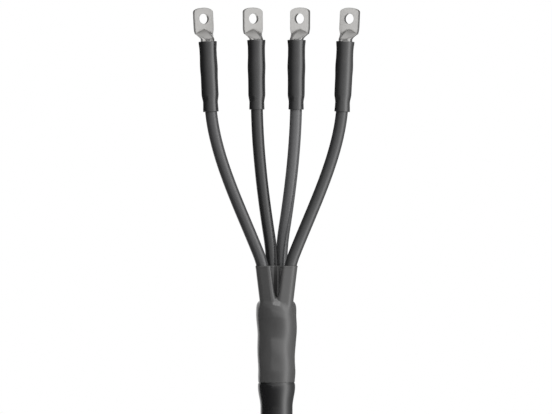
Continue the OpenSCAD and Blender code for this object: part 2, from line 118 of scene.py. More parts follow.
class LegSizes(bpy.types.PropertyGroup):
    """Sizes of the cores and of the routes that they follow."""

    conductor_r: length("Conductor radius", "Outer radius of a stranded conductor", 3.8)
    core_r: length("Core radius", "Outer radius of an insulated core", 5.05)
    tube_r: length("Tube radius", "Outer radius of a core tube", 6)
    fit: length("Fit", "Clearance between layers", 0.05)
    end_gap: length("End gap", "Clearance between the ends of pieces that follow each other", 0.3)
    strand_lay: length("Lay", "Length of one turn of the strands in a conductor", 95)
    core_half: length("Core place", "Distance of a core from the cable's middle planes", 5.4)
    finger_pitch: length("Finger pitch", "Distance between the axes of the rear fingers", 12.8)
    front_x: length("Front finger place", "Distance of a front finger's root from the middle plane", 7.3)
    row_gap: length("Row gap", "Extra depth between the front fingers and the nearer rear one", 0.7)
    rear_depth: length("Rear depth", "Depth of the rear pair behind the cable's axis", 7.3)
    rear_skew: angle("Rear skew", "Turn of the rear pair out of the row", 40)
    root_h: length("Root height", "Height of the fingers' roots above the boot's lower edge", 65.9)
    finger_lean: angle("Finger lean", "Lean of the front fingers, seen from the front", 6.8)
    bend_drop: length("Bend drop", "Depth below the mouths at which the outer tubes start to bend", 11.6)
    outer_bend_r: length("Outer bend", "Radius of the bend in an outer tube", 92)
    inner_bend_r: length("Inner bend", "Radius of the bend in an inner tube", 185)
    outer_climb: angle("Outer climb", "Lean of the outer tubes above the bend", 21.8)
    inner_climb: angle("Inner climb", "Lean of the inner tubes above the bend", 8.9)
    outer_enter: angle("Outer entry", "Lean of the outer tubes at the lug sleeves", 5.6)
    inner_enter: angle("Inner entry", "Lean of the inner tubes at the lug sleeves", 1.2)
    enter_len: length("Entry length", "Length over which a tube straightens in its lug sleeve", 8)
    outer_rise: length("Outer rise", "Height of the outer lug sleeves above the finger mouths", 153.7)
    inner_rise: length("Inner rise", "Height of the inner lug sleeves above the finger mouths", 155.9)
    outer_span: length("Outer span", "Distance between the outer legs at the lug sleeves", 131.2)
    inner_span: length("Inner span", "Distance between the inner legs at the lug sleeves", 39.2)
    outer_tilt: angle("Outer tilt", "Lean of the outer lugs", 2.7)
    inner_tilt: angle("Inner tilt", "Lean of the inner lugs", 0.5)
    outer_lap: length("Outer lap", "Length of core tube inside an outer lug sleeve", 18)
    inner_lap: length("Inner lap", "Length of core tube inside an inner lug sleeve", 15.6)


class BootSizes(bpy.types.PropertyGroup):
    """Sizes of the four-finger boot."""

    skirt_in_r: length("Skirt bore", "Inner radius of the skirt", 17.937)
    skirt_wall: length("Skirt wall", "Wall of the skirt", 1)
    edge_wall: length("Edge wall", "Wall at the skirt's feathered edge", 0.45)
    edge_len: length("Edge length", "Length of the feathered edge", 12)
    body_wall: length("Body wall", "Wall of the body above the sleeve", 2)
    swell_h: length("Swell start", "Height at which the shoulder starts to swell", 41.7)
    shoulder_h: length("Shoulder height", "Height of the shoulder's widest part", 65.9)
    swell: length("Swell", "Swell of the shoulder beyond the body", 1.7)
    shoulder_power: plain("Shoulder power", "Squareness of the shoulder", 4)
    bulge: length("Front bulge", "Bulge of the shoulder to the front", 1.1)
    shoulder_skew: length("Shoulder skew", "Rise of the shoulder on the left, and fall on the right", 4)
    crown_h: length("Crown height", "Height of the body's crown between the fingers", 83.4)
    crotch_h: length("Crotch height", "Height of the crotch, which the hollow stays below", 85.2)
    crotch_web: length("Crotch web", "Thickness of the web in the crotch", 8)
    finger_wall: length("Finger wall", "Wall of a finger", 1.7)
    lip: length("Lip", "Swell of a finger at its mouth", 0.15)
    corner_r: length("Corner radius", "Radius of the inner front corner of a front finger", 3)
    slant_left: angle("Left slant", "Slant of the left finger's front face", 20)
    slant_right: angle("Right slant", "Slant of the right finger's front face", 10)
    body_fillet: length("Body fillet", "Reach of the fillet between the fingers and the body", 1.8)
    front_fillet: length("Front fillet", "Reach of the web in the crotch of the front fingers", 7.2)
    finger_fillet: length("Finger fillet", "Reach of the fillet between two fingers", 1.4)
    rim_round: length("Rim round", "Rounding of the finger mouths", 0.9)
    edge_round: length("Edge round", "Rounding of the skirt's edge", 0.4)
    wave: length("Wave", "Unevenness that shrinking leaves in the body", 0.38)
    grain: length("Mesh step", "Step of the grid that the skin is found on", 0.6)


class SleeveSizes(bpy.types.PropertyGroup):
    """Sizes of the sheath sleeve and of the lug sleeves."""

    sheath_in_r: length("Sheath sleeve bore", "Inner radius of the sheath sleeve's plain end", 15.287)
    sheath_wall: length("Sheath sleeve wall", "Wall of the sheath sleeve", 0.8)
    plain_len: length("Plain length", "Length of the sheath sleeve below its step", 17)
    climb_len: length("Climb length", "Length of the sheath sleeve's step", 20)
    step: length("Step", "Rise of the sheath sleeve over the mastic", 1.8)
    bead: length("Bead", "Bead of mastic below the boot's edge", 0.75)
    bead_fall: length("Bead fall", "Length over which the bead falls away", 2.5)
    lug_wall: length("Lug sleeve wall", "Wall of a lug sleeve", 1.65)
    foot_thin: length("Foot thinning", "Thinning of a lug sleeve's wall on the core tube", 0.3)
    outer_cover: length("Outer cover", "Length of lug barrel in an outer lug sleeve", 52.4)
    inner_cover: length("Inner cover", "Length of lug barrel in an inner lug sleeve", 54.4)
    lug_climb: length("Lug sleeve climb", "Length over which a lug sleeve climbs onto the barrel", 8.5)
    foot_flare: length("Foot flare", "Flare of a lug sleeve's lower end", 0.15)
    top_flare: length("Top flare", "Flare of a lug sleeve's upper end", 0.6)
    flare_len: length("Flare length", "Length of each flare", 9)
    crimp_swell: length("Crimp swell", "Swell of a lug sleeve between the crimps", 0.35)
    rim: length("Rim", "Rounding of the sleeves' rims", 0.3)
    ripple: length("Ripple", "Unevenness that shrinking leaves in a sleeve", 0.05)


class LugSizes(bpy.types.PropertyGroup):
    """Sizes of the bolt lugs."""

    barrel_r: length("Barrel radius", "Outer radius of the barrel", 6.85)
    barrel_len: length("Barrel length", "Length of the round barrel", 54.6)
    bore_depth: length("Bore depth", "Depth of the bore for the conductor", 46)
    neck_len: length("Neck length", "Length over which the neck widens into the palm", 12.4)
    palm_len: length("Palm length", "Length of the palm above the neck", 19.7)
    palm_w: length("Palm width", "Width of the palm", 22)
    palm_t: length("Palm thickness", "Thickness of the palm", 3.2)
    palm_set: length("Palm set-back", "Set-back of the palm's rear face behind the barrel", 1.2)
    corner: length("Corner drop", "Drop of the palm's top edge from its middle to its corners", 4.8)
    corner_power: plain("Corner power", "Squareness of the palm's top corners", 2.1)
    hole_r: length("Hole radius", "Radius of the bolt hole", 5.25)
    hole_drop: length("Hole drop", "Distance from the top of the palm to the hole's centre", 11.1)
    crest_h: length("Crest height", "Height of the pressed crest above the barrel", 10.4)
    crest_sag: length("Crest sag", "Drop of the crest from its middle to its ends", 4.5)
    crease: length("Crease", "Depth of the crease that pressing leaves along the crest", 0.35)
    crease_share: plain("Crease width", "Width of the crease as a share of the palm's length", 0.04)
    edge: length("Edge", "Rounding of the palm's edges", 0.45)
    chamfer: length("Chamfer", "Chamfer of the hole", 0.35)
    crimp_flats: length("Crimp flats", "Distance across a crimp's flats", 13)
    crimp_w: length("Crimp width", "Width of a crimp", 12)
    crimp_start: length("Crimp start", "Distance from the barrel's mouth to the first crimp", 6)
    crimp_pitch: length("Crimp pitch", "Distance from one crimp to the next", 30)


class FinishColours(bpy.types.PropertyGroup):
    """Base colours of the finishes, and factors that paint light and shade onto the core tubes."""

    boot: colour("Boot", "Dark grey moulded boot", (0.067, 0.0665, 0.0665))
    sleeve: colour("Sheath sleeve", "Black sheath sleeve", (0.007, 0.007, 0.0075))
    tube: colour("Core tube", "Black-grey core tube", (0.030, 0.030, 0.031))
    # Painted light: the core tubes are one material, and these factors lighten or darken each tube's copy of
    # it to stand in for the light and shade that fall on that leg
    tube_shades: FloatVectorProperty(
        name="Tube shades",
        description="Shade of each core tube, left to right",
        default=(1.3, 0.5, 2.3, 0.8),
        size=4,
    )
    lug_sleeve: colour("Lug sleeve", "Black lug sleeve", (0.010, 0.010, 0.0105))
    sheath: colour("Cable sheath", "Black cable sheath", (0.016, 0.016, 0.017))
    bedding: colour("Bedding", "Grey filler between the cores", (0.23, 0.23, 0.22))
    mastic: colour("Mastic", "Brown-black sealing mastic", (0.05, 0.042, 0.035))
    insulation: colour("Insulation", "Pale core insulation", (0.56, 0.55, 0.52))
    lug: colour("Lug", "Bare aluminium of the lugs", (0.535, 0.528, 0.516))
    conductor: colour("Conductor", "Bare aluminium of the strands", (0.68, 0.68, 0.67))


class StageSettings(bpy.types.PropertyGroup):
    """Camera, light and floor."""

    frame_w: length("Frame width", "Width of the picture at the object", 552)
    centre_x: length("Centre", "Sideways place of the picture's centre", -0.5)
    centre_z: length("Centre height", "Height of the picture's centre", 245)
    distance: length("Distance", "Distance of the camera from the cable's axis", 4000)
    sensor: plain("Sensor", "Width of the camera's sensor in millimetres", 36)
    floor_r: length("Floor radius", "Radius of the floor", 480)
    floor: colour("Floor", "Pale floor", (0.80, 0.80, 0.80))
    ambient: plain("Ambient", "Strength of the world's light on the object", 0.42)
    key_power: plain("Key power", "Power of the key light in watts", 14)
    top_power: plain("Top power", "Power of the top light in watts", 2.2)
    card_r: length("Card radius", "Distance of the reflected card from the cable's axis", 650)
    card_low: length("Card foot", "Height of the card's lower edge", -420)
    card_high: length("Card top", "Height of the card's upper edge", 1000)
    card_from: angle("Card start", "Angle at which the card starts, on the left", -128)
    card_step: length("Card step", "Height at which the card's left edge steps out", 260)
    step_h: length("Step height", "Height of the step in the card's left edge", 60)
    step_from: angle("Step start", "Angle at which the card starts above its step", -186)
    card_to: angle("Card end", "Angle at which the card ends, on the right", 166)
    glow: plain("Glow", "Strength of the softbox in the card", 4)
    glow_turn: angle("Glow place", "Angle of the softbox to the right of the camera", 61)
    glow_width: angle("Glow width", "Angle at which the softbox falls to half its strength", 20.8)
    front_glow: plain("Front glow", "Strength of the pale wall behind the camera", 1.05)
    front_from: angle("Front start", "Angle at which the pale wall starts, on the left", -36)
    front_to: angle("Front end", "Angle at which the pale wall ends, on the right", 60)
    front_low: length("Front foot", "Height at which the pale wall starts", 30)
    front_soft: length("Front softening", "Height at which the pale wall's start gets soft", 170)
    lid_glow: plain("Lid glow", "Strength of the lid on the card", 0.78)
    back_power: plain("Back power", "Power of the back light in watts", 8)
    panel_power: plain("Panel power", "Power in watts of the brightest panels that light the lugs", 2.35)
    panel_r: length("Panel distance", "Distance of the panels from the cable's axis", 600)
    panel_w: length("Panel width", "Width of a panel", 500)
    panel_h: length("Panel height", "Height of a panel", 1200)
    panel_z: length("Panel middle", "Height of the panels' middle", 120)


GROUPS = {
    "legs": LegSizes,
    "boot": BootSizes,
    "sleeves": SleeveSizes,
    "lugs": LugSizes,
    "colours": FinishColours,
    "stage": StageSettings,
}


class TerminationSettings(bpy.types.PropertyGroup):
    """All settings of the termination."""

    __annotations__ = {key: PointerProperty(type=group) for key, group in GROUPS.items()}


def settings():
    """The scene's settings."""
    return bpy.context.scene.cable_termination


def ease(t):
    """A smooth step from 0 to 1: three t squared less two t cubed."""
    t = np.clip(t, 0, 1)
    return t * t * (3 - 2 * t)


def bump(t):
    """A smooth hump of height 1 between -1 and 1: half of one plus the cosine of pi t."""
    return np.where(np.abs(t) < 1, (1 + np.cos(pi * t)) / 2, 0)


def unevenness(turn, along, waves):
    """Waves round a piece: the sum of share times the sine of (crests * turn + along / rise + phase)."""
    return sum(
        share * np.sin(crests * turn + along / rise + phase) for crests, rise, phase, share in waves
    )


def normalised(vectors):
    """Vectors divided by their lengths."""
    return vectors / np.linalg.norm(vectors, axis=-1, keepdims=True)


def grid_faces(rows, columns, close_rows, close_columns):
    """One quad for each cell of a grid of points, row by row, with either direction closed or open."""
    row, column = np.meshgrid(
        np.arange(rows if close_rows else rows - 1),
        np.arange(columns if close_columns else columns - 1),
        indexing="ij",
    )
    above = (row + 1) % rows * columns
    right = (column + 1) % columns
    corners = (row * columns + column, row * columns + right, above + right, above + column)
    return np.stack(corners, -1).reshape(-1, 4)


def closed_shell(grid, close_rows=True, cap_top=True):
    """Points and outward quads of a grid of rings. Open ends are closed by shrinking a ring to its middle."""
    if not close_rows:
        grid = np.concatenate((np.broadcast_to(grid[0].mean(0), grid[0].shape)[None], grid))
        if cap_top:
            grid = np.concatenate((grid, np.broadcast_to(grid[-1].mean(0), grid[-1].shape)[None]))
    faces = grid_faces(*grid.shape[:2], close_rows, True)
    points = grid.reshape(-1, 3)
    a, b, c, d = (points[faces[:, k]] - points.mean(0) for k in range(4))
    # Six times the volume, which is negative where the quads face inwards
    volume = np.sum(np.cross(a, b) * c) + np.sum(np.cross(a, c) * d)
    return points, faces if volume > 0 else faces[:, ::-1]


def in_scene(name, data):
    """A new object in the scene."""
    item = bpy.data.objects.new(name, data)
    bpy.context.scene.collection.objects.link(item)
    return item


def new_object(name, points, faces):
    """A mesh object from points and quads. Merging coincident points makes collapsed quads triangles."""
    mesh = bpy.data.meshes.new(name)
    mesh.vertices.add(len(points))
    mesh.vertices.foreach_set("co", np.ascontiguousarray(points, np.float32).ravel())
    mesh.loops.add(faces.size)
    mesh.loops.foreach_set("vertex_index", np.ascontiguousarray(faces, np.int32).ravel())
    mesh.polygons.add(len(faces))
    mesh.polygons.foreach_set("loop_start", np.arange(0, faces.size, 4, dtype=np.int32))
    mesh.update(calc_edges=True)
    work = bmesh.new()
    work.from_mesh(mesh)
    bmesh.ops.remove_doubles(work, verts=work.verts, dist=MERGE)
    work.to_mesh(mesh)
    work.free()
    return in_scene(name, mesh)


def finish_piece(piece, material, slot, *nodes):
    """Gives a piece its finish and ties it to the frame."""
    piece.data.materials.clear()
    piece.data.materials.append(material)
    piece.data.shade_smooth()
    piece.data.set_sharp_from_angle(angle=SMOOTH_ANGLE)
    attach(piece, BODY)
    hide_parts(*nodes)


def cut(piece, tool):
    """Takes the closed mesh of a tool out of a piece, and deletes the tool."""
    modifier = piece.modifiers.new("cut", "BOOLEAN")
    modifier.operation = "DIFFERENCE"
    modifier.solver = "MANIFOLD"
    modifier.object = tool
    shaped = piece.evaluated_get(bpy.context.evaluated_depsgraph_get())
    mesh = bpy.data.meshes.new_from_object(shaped)
    if len(mesh.polygons) == 0:
        raise RuntimeError(f"cutting {piece.name} left nothing")
    piece.modifiers.clear()
    piece.data = mesh
    bpy.data.objects.remove(tool)


def ring_grid(points, across, depth, radius, sides):
    """Rings round a route: each point plus the radius times a unit vector that turns from across to depth."""
    turn = np.linspace(0, 2 * pi, sides, endpoint=False)[:, None]
    radius = np.reshape(radius, (len(points), -1, 1))
    return points[:, None] + radius * (np.cos(turn) * across[:, None] + np.sin(turn) * depth[:, None])


class Leg:
    """Route of one core, from the cable's cut end to the inside of its lug.

    It runs straight up the cable, along a cubic to its finger's root, straight up the finger, round an
    arc at the finger's mouth, along a cubic to the lug sleeve, along a short parabola into line with the
    lug, and straight on. Above the finger's root all of it lies in one upright plane.
    """

    # Points in each stretch
    STEPS = 60
    # Length of the last stretch, beyond the parabola
    TAIL = 100 * MM

    def __init__(self, number):
        legs = settings().legs
        self.outer = number in (1, 4)
        self.side = -1 if number <= 2 else 1
        kind = "outer" if self.outer else "inner"
        self.lap = getattr(legs, kind + "_lap")
        self.tilt = getattr(legs, kind + "_tilt")
        self.bend_r = getattr(legs, kind + "_bend_r")
        self.core = np.array((self.side, -1 if self.outer else 1)) * legs.core_half
        self.root = self.finger_root(legs)
        self.root_z = BOOT_LOW + legs.root_h
        self.bend_z = BOOT_HIGH - (legs.bend_drop if self.outer else 0)
        self.foot_z = BOOT_HIGH + getattr(legs, kind + "_rise")
        end = np.array((self.side * getattr(legs, kind + "_span") / 2, 0))
        self.reach = np.linalg.norm(end - self.root)
        self.heading = (end - self.root) / self.reach
        spread = self.reach / abs(end[0] - self.root[0])
        self.lean = np.arctan(tan(legs.finger_lean) * spread) if self.outer else 0.0
        self.climb = np.arctan(tan(getattr(legs, kind + "_climb")) * spread)
        self.enter = np.arctan(tan(getattr(legs, kind + "_enter")) * spread)
        self.enter_len = legs.enter_len
        self.foot = np.append(end, self.foot_z)
        self.axis = np.append(self.heading * sin(self.tilt), cos(self.tilt))
        self.trace(SHEATH_TOP + legs.end_gap)

    def finger_root(self, legs):
        """Place of the finger's axis at its root: the rear pair is turned out of the row."""
        rear_x = legs.finger_pitch / 2 * cos(legs.rear_skew)
        rear_dy = legs.finger_pitch / 2 * sin(legs.rear_skew)
        if self.outer:
            depth = legs.rear_depth - rear_dy - legs.finger_pitch - legs.row_gap
            return np.array((self.side * legs.front_x, depth))
        return np.array((self.side * rear_x, legs.rear_depth + self.side * rear_dy))

    def in_plane(self, out, height):
        """Points of the leg's upright plane, from their distance out of the root and their height."""
        return np.column_stack((self.root + np.multiply.outer(out, self.heading), height))

    def parting(self, t, part_z):
        """The cubic that takes the core from its place in the cable to its finger's root."""
        height = self.root_z - part_z
        shift = np.multiply.outer(ease(t), self.root - self.core)
        leave = np.multiply.outer(height * t * t * (1 - t), self.heading * tan(self.lean))
        return np.column_stack((self.core + shift - leave, part_z + height * t))

    def trace(self, part_z):
        """Strings the stretches together and measures the distance along them.

        Each stretch adds STEPS points, so the stretches end at whole multiples of STEPS.
        """
        t = np.linspace(0, 1, self.STEPS + 1)[1:]
        bend_out = (self.bend_z - self.root_z) * tan(self.lean)
        lean = self.lean + (self.climb - self.lean) * t
        arc_out = bend_out + self.bend_r * (cos(self.lean) - np.cos(lean))
        arc_z = self.bend_z + self.bend_r * (np.sin(lean) - sin(self.lean))
        turn = tan(self.enter - self.tilt)
        left = self.enter_len * (1 - np.append(0, t))
        aside = turn * left**2 / (2 * self.enter_len)
        along = self.enter_len - left
        enter_out = self.reach + along * sin(self.tilt) - aside * cos(self.tilt)
        enter_z = self.foot_z + along * cos(self.tilt) + aside * sin(self.tilt)
        height = enter_z[0] - arc_z[-1]
        gain = (enter_out[0] - arc_out[-1]) * ease(t)
        rise = gain + height * tan(self.climb) * t * (1 - t) ** 2 - height * tan(self.enter) * t * t * (1 - t)
        stretches = (
            np.append(self.core, 0)[None],
            np.column_stack((np.broadcast_to(self.core, (self.STEPS, 2)), part_z * t)),
            self.parting(t, part_z),
            self.in_plane(bend_out * t, self.root_z + (self.bend_z - self.root_z) * t),
            self.in_plane(arc_out, arc_z),
            self.in_plane(arc_out[-1] + rise, arc_z[-1] + height * t),
            self.in_plane(enter_out[1:], enter_z[1:]),
            self.foot + np.multiply.outer(self.enter_len + self.TAIL * t, self.axis),
        )
        self.points = np.concatenate(stretches)
        steps = np.linalg.norm(np.diff(self.points, axis=0), axis=1)
        self.along = np.append(0, np.cumsum(steps))
        self.root_s = self.along[2 * self.STEPS]
        self.mouth_s = np.interp(BOOT_HIGH, self.points[:, 2], self.along)
        self.foot_s = self.along[5 * self.STEPS]

    def frames(self, along):
        """Points at the given distances, and the two unit vectors across the route there."""
        slopes = np.gradient(self.points, self.along, axis=0)
        points, slopes = (
            np.column_stack([np.interp(along, self.along, column) for column in values.T])
            for values in (self.points, slopes)
        )
        slopes = normalised(slopes)
        across = normalised(np.cross((0, 1, 0), slopes))
        return points, across, np.cross(slopes, across)

    def rings(self, along, radius, sides):
        """Rings round the route at the given distances, with one radius for each ring or each point."""
        return ring_grid(*self.frames(along), radius, sides)


def upright_rings(foot, axis, along, radius, sides):
    """Rings round a straight axis that is close to upright, as Leg.rings gives them round a route."""
    across = normalised(np.cross((0, 1, 0), axis))
    points = foot + np.multiply.outer(along, axis)
    return ring_grid(points, across[None], np.cross(axis, across)[None], radius, sides)


def wall_outline(along, inner, outer, rim):
    """Closed outline of a tube's wall: up the outside, over a half-elliptic rim, down the inside and back."""
    turn = np.linspace(0, pi, RIM_STEPS + 2)[1:-1]
    middle, half = (outer + inner) / 2, (outer - inner) / 2
    distances = (along, along[-1] + rim * np.sin(turn), along[::-1], along[0] - rim * np.sin(turn))
    top = middle[-1] + half[-1] * np.cos(turn)
    bottom = middle[0] - half[0] * np.cos(turn)
    return np.concatenate(distances), np.concatenate((outer, top, inner[::-1], bottom))


class Socket:
    """A shader value that takes part in arithmetic: each operator adds the Math node that works it out."""

    def __init__(self, finish, socket):
        self.finish = finish
        self.socket = socket

    def math(self, operation, *values):
        """The result of one Math node."""
        return self.finish.node("ShaderNodeMath", {"operation": operation}, dict(enumerate(values)))

    def __add__(self, other):
        return self.math("ADD", self, other)

    def __sub__(self, other):
        return self.math("SUBTRACT", self, other)

    def __rsub__(self, other):
        return self.math("SUBTRACT", other, self)

    def __mul__(self, other):
        return self.math("MULTIPLY", self, other)

    def __rtruediv__(self, other):
        return self.math("DIVIDE", other, self)

    __radd__ = __add__
    __rmul__ = __mul__

    def clamped(self):
        """The value held between 0 and 1."""
        return self.finish.node("ShaderNodeClamp", {}, {0: self})


class Finish:
    """A node tree under construction, of a material or of the world."""

    # Inputs of a Mix node that take the factor and two colours, and its output for colours
    MIX_INPUTS, MIX_OUTPUT = (0, 6, 7), 2

    def __init__(self, owner):
        owner.use_nodes = True
        self.tree = owner.node_tree
        self.tree.nodes.clear()

    def node(self, kind, options, sockets, output=0):
        """Makes a node of any type, sets its options, fills its sockets, and returns one of its outputs."""
        node = self.tree.nodes.new(kind)
        for key, value in options.items():
            setattr(node, key, value)
        for key, value in sockets.items():
            if isinstance(value, Socket):
                self.tree.links.new(value.socket, node.inputs[key])
            else:
                node.inputs[key].default_value = value
        return Socket(self, node.outputs[output]) if node.outputs else node

    def place(self, scale=(1, 1, 1)):
        """Object coordinates, stretched."""
        spot = self.node("ShaderNodeTexCoord", {}, {}, "Object")
        return self.node("ShaderNodeMapping", {}, {"Vector": spot, "Scale": scale})

    def noise(self, place, scale, detail, rough=0.55):
        """Noise from 0 to 1 with about `scale` features in a metre."""
        sockets = {"Vector": place, "Scale": scale, "Detail": detail, "Roughness": rough}
        return self.node("ShaderNodeTexNoise", {}, sockets, "Fac")

    def ramp(self, value, start, stop):
        """A smooth step from 0 at the start to 1 at the stop."""
        sockets = {"Value": value, "From Min": start, "From Max": stop}
        return self.node("ShaderNodeMapRange", {"interpolation_type": "SMOOTHSTEP"}, sockets)

    def mix(self, factor, first, second):
        """A mix of two colours."""
        sockets = dict(zip(self.MIX_INPUTS, (factor, (*first, 1), (*second, 1))))
        return self.node("ShaderNodeMix", {"data_type": "RGBA"}, sockets, self.MIX_OUTPUT)

    def surface(self, base, rough, height, bump_depth, **constants):
        """Ends the tree in a Principled shader: base colour, roughness and a bump of the given depth."""
        normal = self.node("ShaderNodeBump", {}, {"Height": height, "Distance": bump_depth, "Strength": 1.0})
        sockets = {"Base Color": base, "Roughness": rough, "Normal": normal}
        sockets.update({key.replace("_", " "): value for key, value in constants.items()})
        shader = self.node("ShaderNodeBsdfPrincipled", {}, sockets)
        self.node("ShaderNodeOutputMaterial", {}, {"Surface": shader})


def new_finish(name):
    """A new material and its empty tree."""
    material = bpy.data.materials.new(name)
    return material, Finish(material)


def shades(tint, spread):
    """A darker and a lighter shade of a colour."""
    return tuple(tuple(channel * (1 + sign * spread) for channel in tint) for sign in (-1, 1))


def polymer_finish(name, tint, rough, specular, drawn=0.0):
    """Shrunk or moulded polyolefin: slow changes of shade and gloss, orange peel, and drawn lines along Z."""
    material, finish = new_finish(name)
    place = finish.place()
    cloud = finish.noise(place, scale=55, detail=4)
    peel = finish.noise(place, scale=700, detail=2)
    specks = finish.noise(place, scale=2600, detail=1)
    lines = finish.noise(finish.place(scale=(1, 1, 0.03)), scale=1500, detail=2)
    base = finish.mix(cloud, *shades(tint, spread=0.14))
    gloss = rough + 0.10 * (cloud - 0.5) + 0.06 * (specks - 0.5) + 0.05 * (peel - 0.5)
    height = peel + 0.25 * specks + drawn * lines
    finish.surface(base, gloss, height, bump_depth=0.025 * MM, Specular_IOR_Level=specular)
    return material


def aluminium_finish(name, tint, rough, stretch):
    """Satin aluminium: fine tumbled grain, faint drawn lines, and a patchy dull film of oxide."""
    material, finish = new_finish(name)
    place = finish.place()
    patches = finish.noise(place, scale=170, detail=4, rough=0.6)
    film = 0.5 * patches + 0.5 * finish.noise(place, scale=900, detail=2)
    grain = finish.noise(place, scale=3200, detail=3)
    lines = finish.noise(finish.place(scale=(1, 1, stretch)), scale=2400, detail=2)
    base = finish.mix(film, *shades(tint, spread=0.16))
    gloss = rough + 0.16 * (film - 0.5) + 0.10 * (grain - 0.5)
    height = grain + 0.6 * lines
    finish.surface(base, gloss, height, bump_depth=0.03 * MM, Metallic=1.0)
    return material


def filler_finish(name, tint, rough):
    """Extruded filler, mastic or insulation: a dull, slightly grainy surface."""
    material, finish = new_finish(name)
    place = finish.place()
    cloud = finish.noise(place, scale=240, detail=4)
    grain = finish.noise(place, scale=1800, detail=3)
    base = finish.mix(cloud, *shades(tint, spread=0.12))
    finish.surface(base, rough + 0.12 * (cloud - 0.5), grain + cloud, bump_depth=0.06 * MM)
    return material


def core_layer(leg, name, start, stop, inner, outer, rim, sides, step):
    """One round layer of a core: the outline of its wall carried along the core's route."""
    along = np.linspace(start + rim, stop - rim, round((stop - start) / step))
    flat = np.ones_like(along)
    distances, radii = wall_outline(along, inner * flat, outer * flat, rim)
    return new_object(name, *closed_shell(leg.rings(distances, radii, sides)))


class CABLE_OT_cores(bpy.types.Operator):
    """Make the stranded conductors, their insulation and the core tubes"""

    bl_idname = "cable.cores"
    bl_label = "Cores and Core Tubes"
    # Points round a conductor, and the distance between its rings
    STRAND_SIDES, STRAND_STEP = 96, 2 * MM
    # Rounding of the ends of the insulation and of the tubes
    CORE_RIM, TUBE_RIM = 0.1 * MM, 0.2 * MM

    def conductor(self, leg, name):
        """Six strands round a middle one: each angle's radius reaches the far side of the nearest strand.

        With strands of radius a the outline is 2a cos d + sqrt(a squared - (2a sin d) squared), where d is
        the angle from the nearest strand's middle, and the strands turn once in each lay.
        """
        legs = settings().legs
        stop = leg.foot_s + leg.lap + settings().lugs.bore_depth - legs.end_gap
        along = np.linspace(0, stop, int(stop / self.STRAND_STEP))
        turn = np.linspace(0, 2 * pi, self.STRAND_SIDES, endpoint=False)
        spin = turn[None] - 2 * pi * along[:, None] / legs.strand_lay
        away = (spin + pi / 6) % (pi / 3) - pi / 6
        strand = legs.conductor_r / 3
        chord = strand**2 - (2 * strand * np.sin(away)) ** 2
        reach = 2 * strand * np.cos(away) + np.sqrt(np.maximum(chord, 0))
        return new_object(name, *closed_shell(leg.rings(along, reach, self.STRAND_SIDES), False))

    def execute(self, context):
        legs, colours = settings().legs, settings().colours
        metal = aluminium_finish("stranded aluminium", colours.conductor, rough=0.4, stretch=0.05)
        plastic = filler_finish("core insulation", colours.insulation, rough=0.45)
        for i, shade in zip(LEGS, colours.tube_shades):
            leg = Leg(i)
            stop = leg.foot_s + leg.lap - legs.end_gap
            finish_piece(self.conductor(leg, f"strands_{i}"), metal, "conductor_metal", f"conductor_{i}")
            inner = legs.conductor_r + legs.fit
            layer = core_layer(
                leg, f"insulation_{i}", 0, stop, inner, legs.core_r, self.CORE_RIM, CORE_SIDES, CORE_STEP
            )
            finish_piece(layer, plastic, "insulation_white", f"core_insulation_{i}")
            inner = legs.core_r + legs.fit
            tube = core_layer(
                leg, f"tube_{i}", leg.root_s, stop, inner, legs.tube_r, self.TUBE_RIM, TUBE_SIDES, TUBE_STEP
            )
            # Painted light and shade: the tube's colour is scaled by its leg's factor, so each leg gets its
            # own lighter or darker copy of the finish
            tint = tuple(channel * shade for channel in colours.tube)
            shrunk = polymer_finish(f"core tube polyolefin {i}", tint, rough=0.28, specular=0.55, drawn=0.5)
            finish_piece(tube, shrunk, "tube_grey", f"core_tube_{i}")
        return {"FINISHED"}


def smooth_min(first, second, reach):
    """The lower of two fields, with a fillet: less the squared overlap of the two within a reach."""
    overlap = np.maximum(reach - np.abs(first - second), 0)
    return np.minimum(first, second) - overlap**2 / (4 * reach)


def level_surface(field, low, high, step):
    """The surface on which a field is zero, found on a grid of cubes.

    A cube that the surface crosses has one point, the mean of the crossings on its edges, moved onto
    the surface along the field's slope. A grid line that the surface crosses has one quad, between the
    points of the four cubes round it.
    """
    axes = [np.arange(a, b + step, step) for a, b in zip(low, high)]
    values = field(*np.meshgrid(*axes, indexing="ij"))
    inside = values < 0
    views = [
        inside[tuple(slice(start, start + size - 1) for start, size in zip(corner, inside.shape))]
        for corner in CORNERS
    ]
    count = sum(view.astype(np.int8) for view in views)
    cubes = np.argwhere((count > 0) & (count < len(CORNERS)))
    index = np.full(count.shape, -1)
    index[tuple(cubes.T)] = np.arange(len(cubes))
    corners = cubes[:, None] + CORNERS[None]
    tones = values[corners[..., 0], corners[..., 1], corners[..., 2]]
    start, stop = tones[:, EDGES[:, 0]], tones[:, EDGES[:, 1]]
    crossed = (start < 0) != (stop < 0)
    share = np.where(crossed, start / np.where(crossed, start - stop, 1), 0)
    spots = CORNERS[EDGES[:, 0]] + share[..., None] * (CORNERS[EDGES[:, 1]] - CORNERS[EDGES[:, 0]])
    means = (spots * crossed[..., None]).sum(1) / crossed.sum(1)[:, None]
    points = np.array(low) + (cubes + means) * step
    for _ in range(SETTLE_ROUNDS):
        points = settle(field, points, step)
    return points, level_faces(inside, index)


def settle(field, points, step):
    """Moves points towards the level surface: back along the slope by the field over the slope squared."""
    nudge = NUDGE * step
    slopes = np.column_stack([
        (field(*(points + offset).T) - field(*(points - offset).T)) / (2 * nudge)
        for offset in np.eye(3) * nudge
    ])
    value = field(*points.T)
    moves = -slopes * (value / np.maximum((slopes**2).sum(1), LEAST_SLOPE))[:, None]
    return points + np.clip(moves, -LONGEST_MOVE * step, LONGEST_MOVE * step)


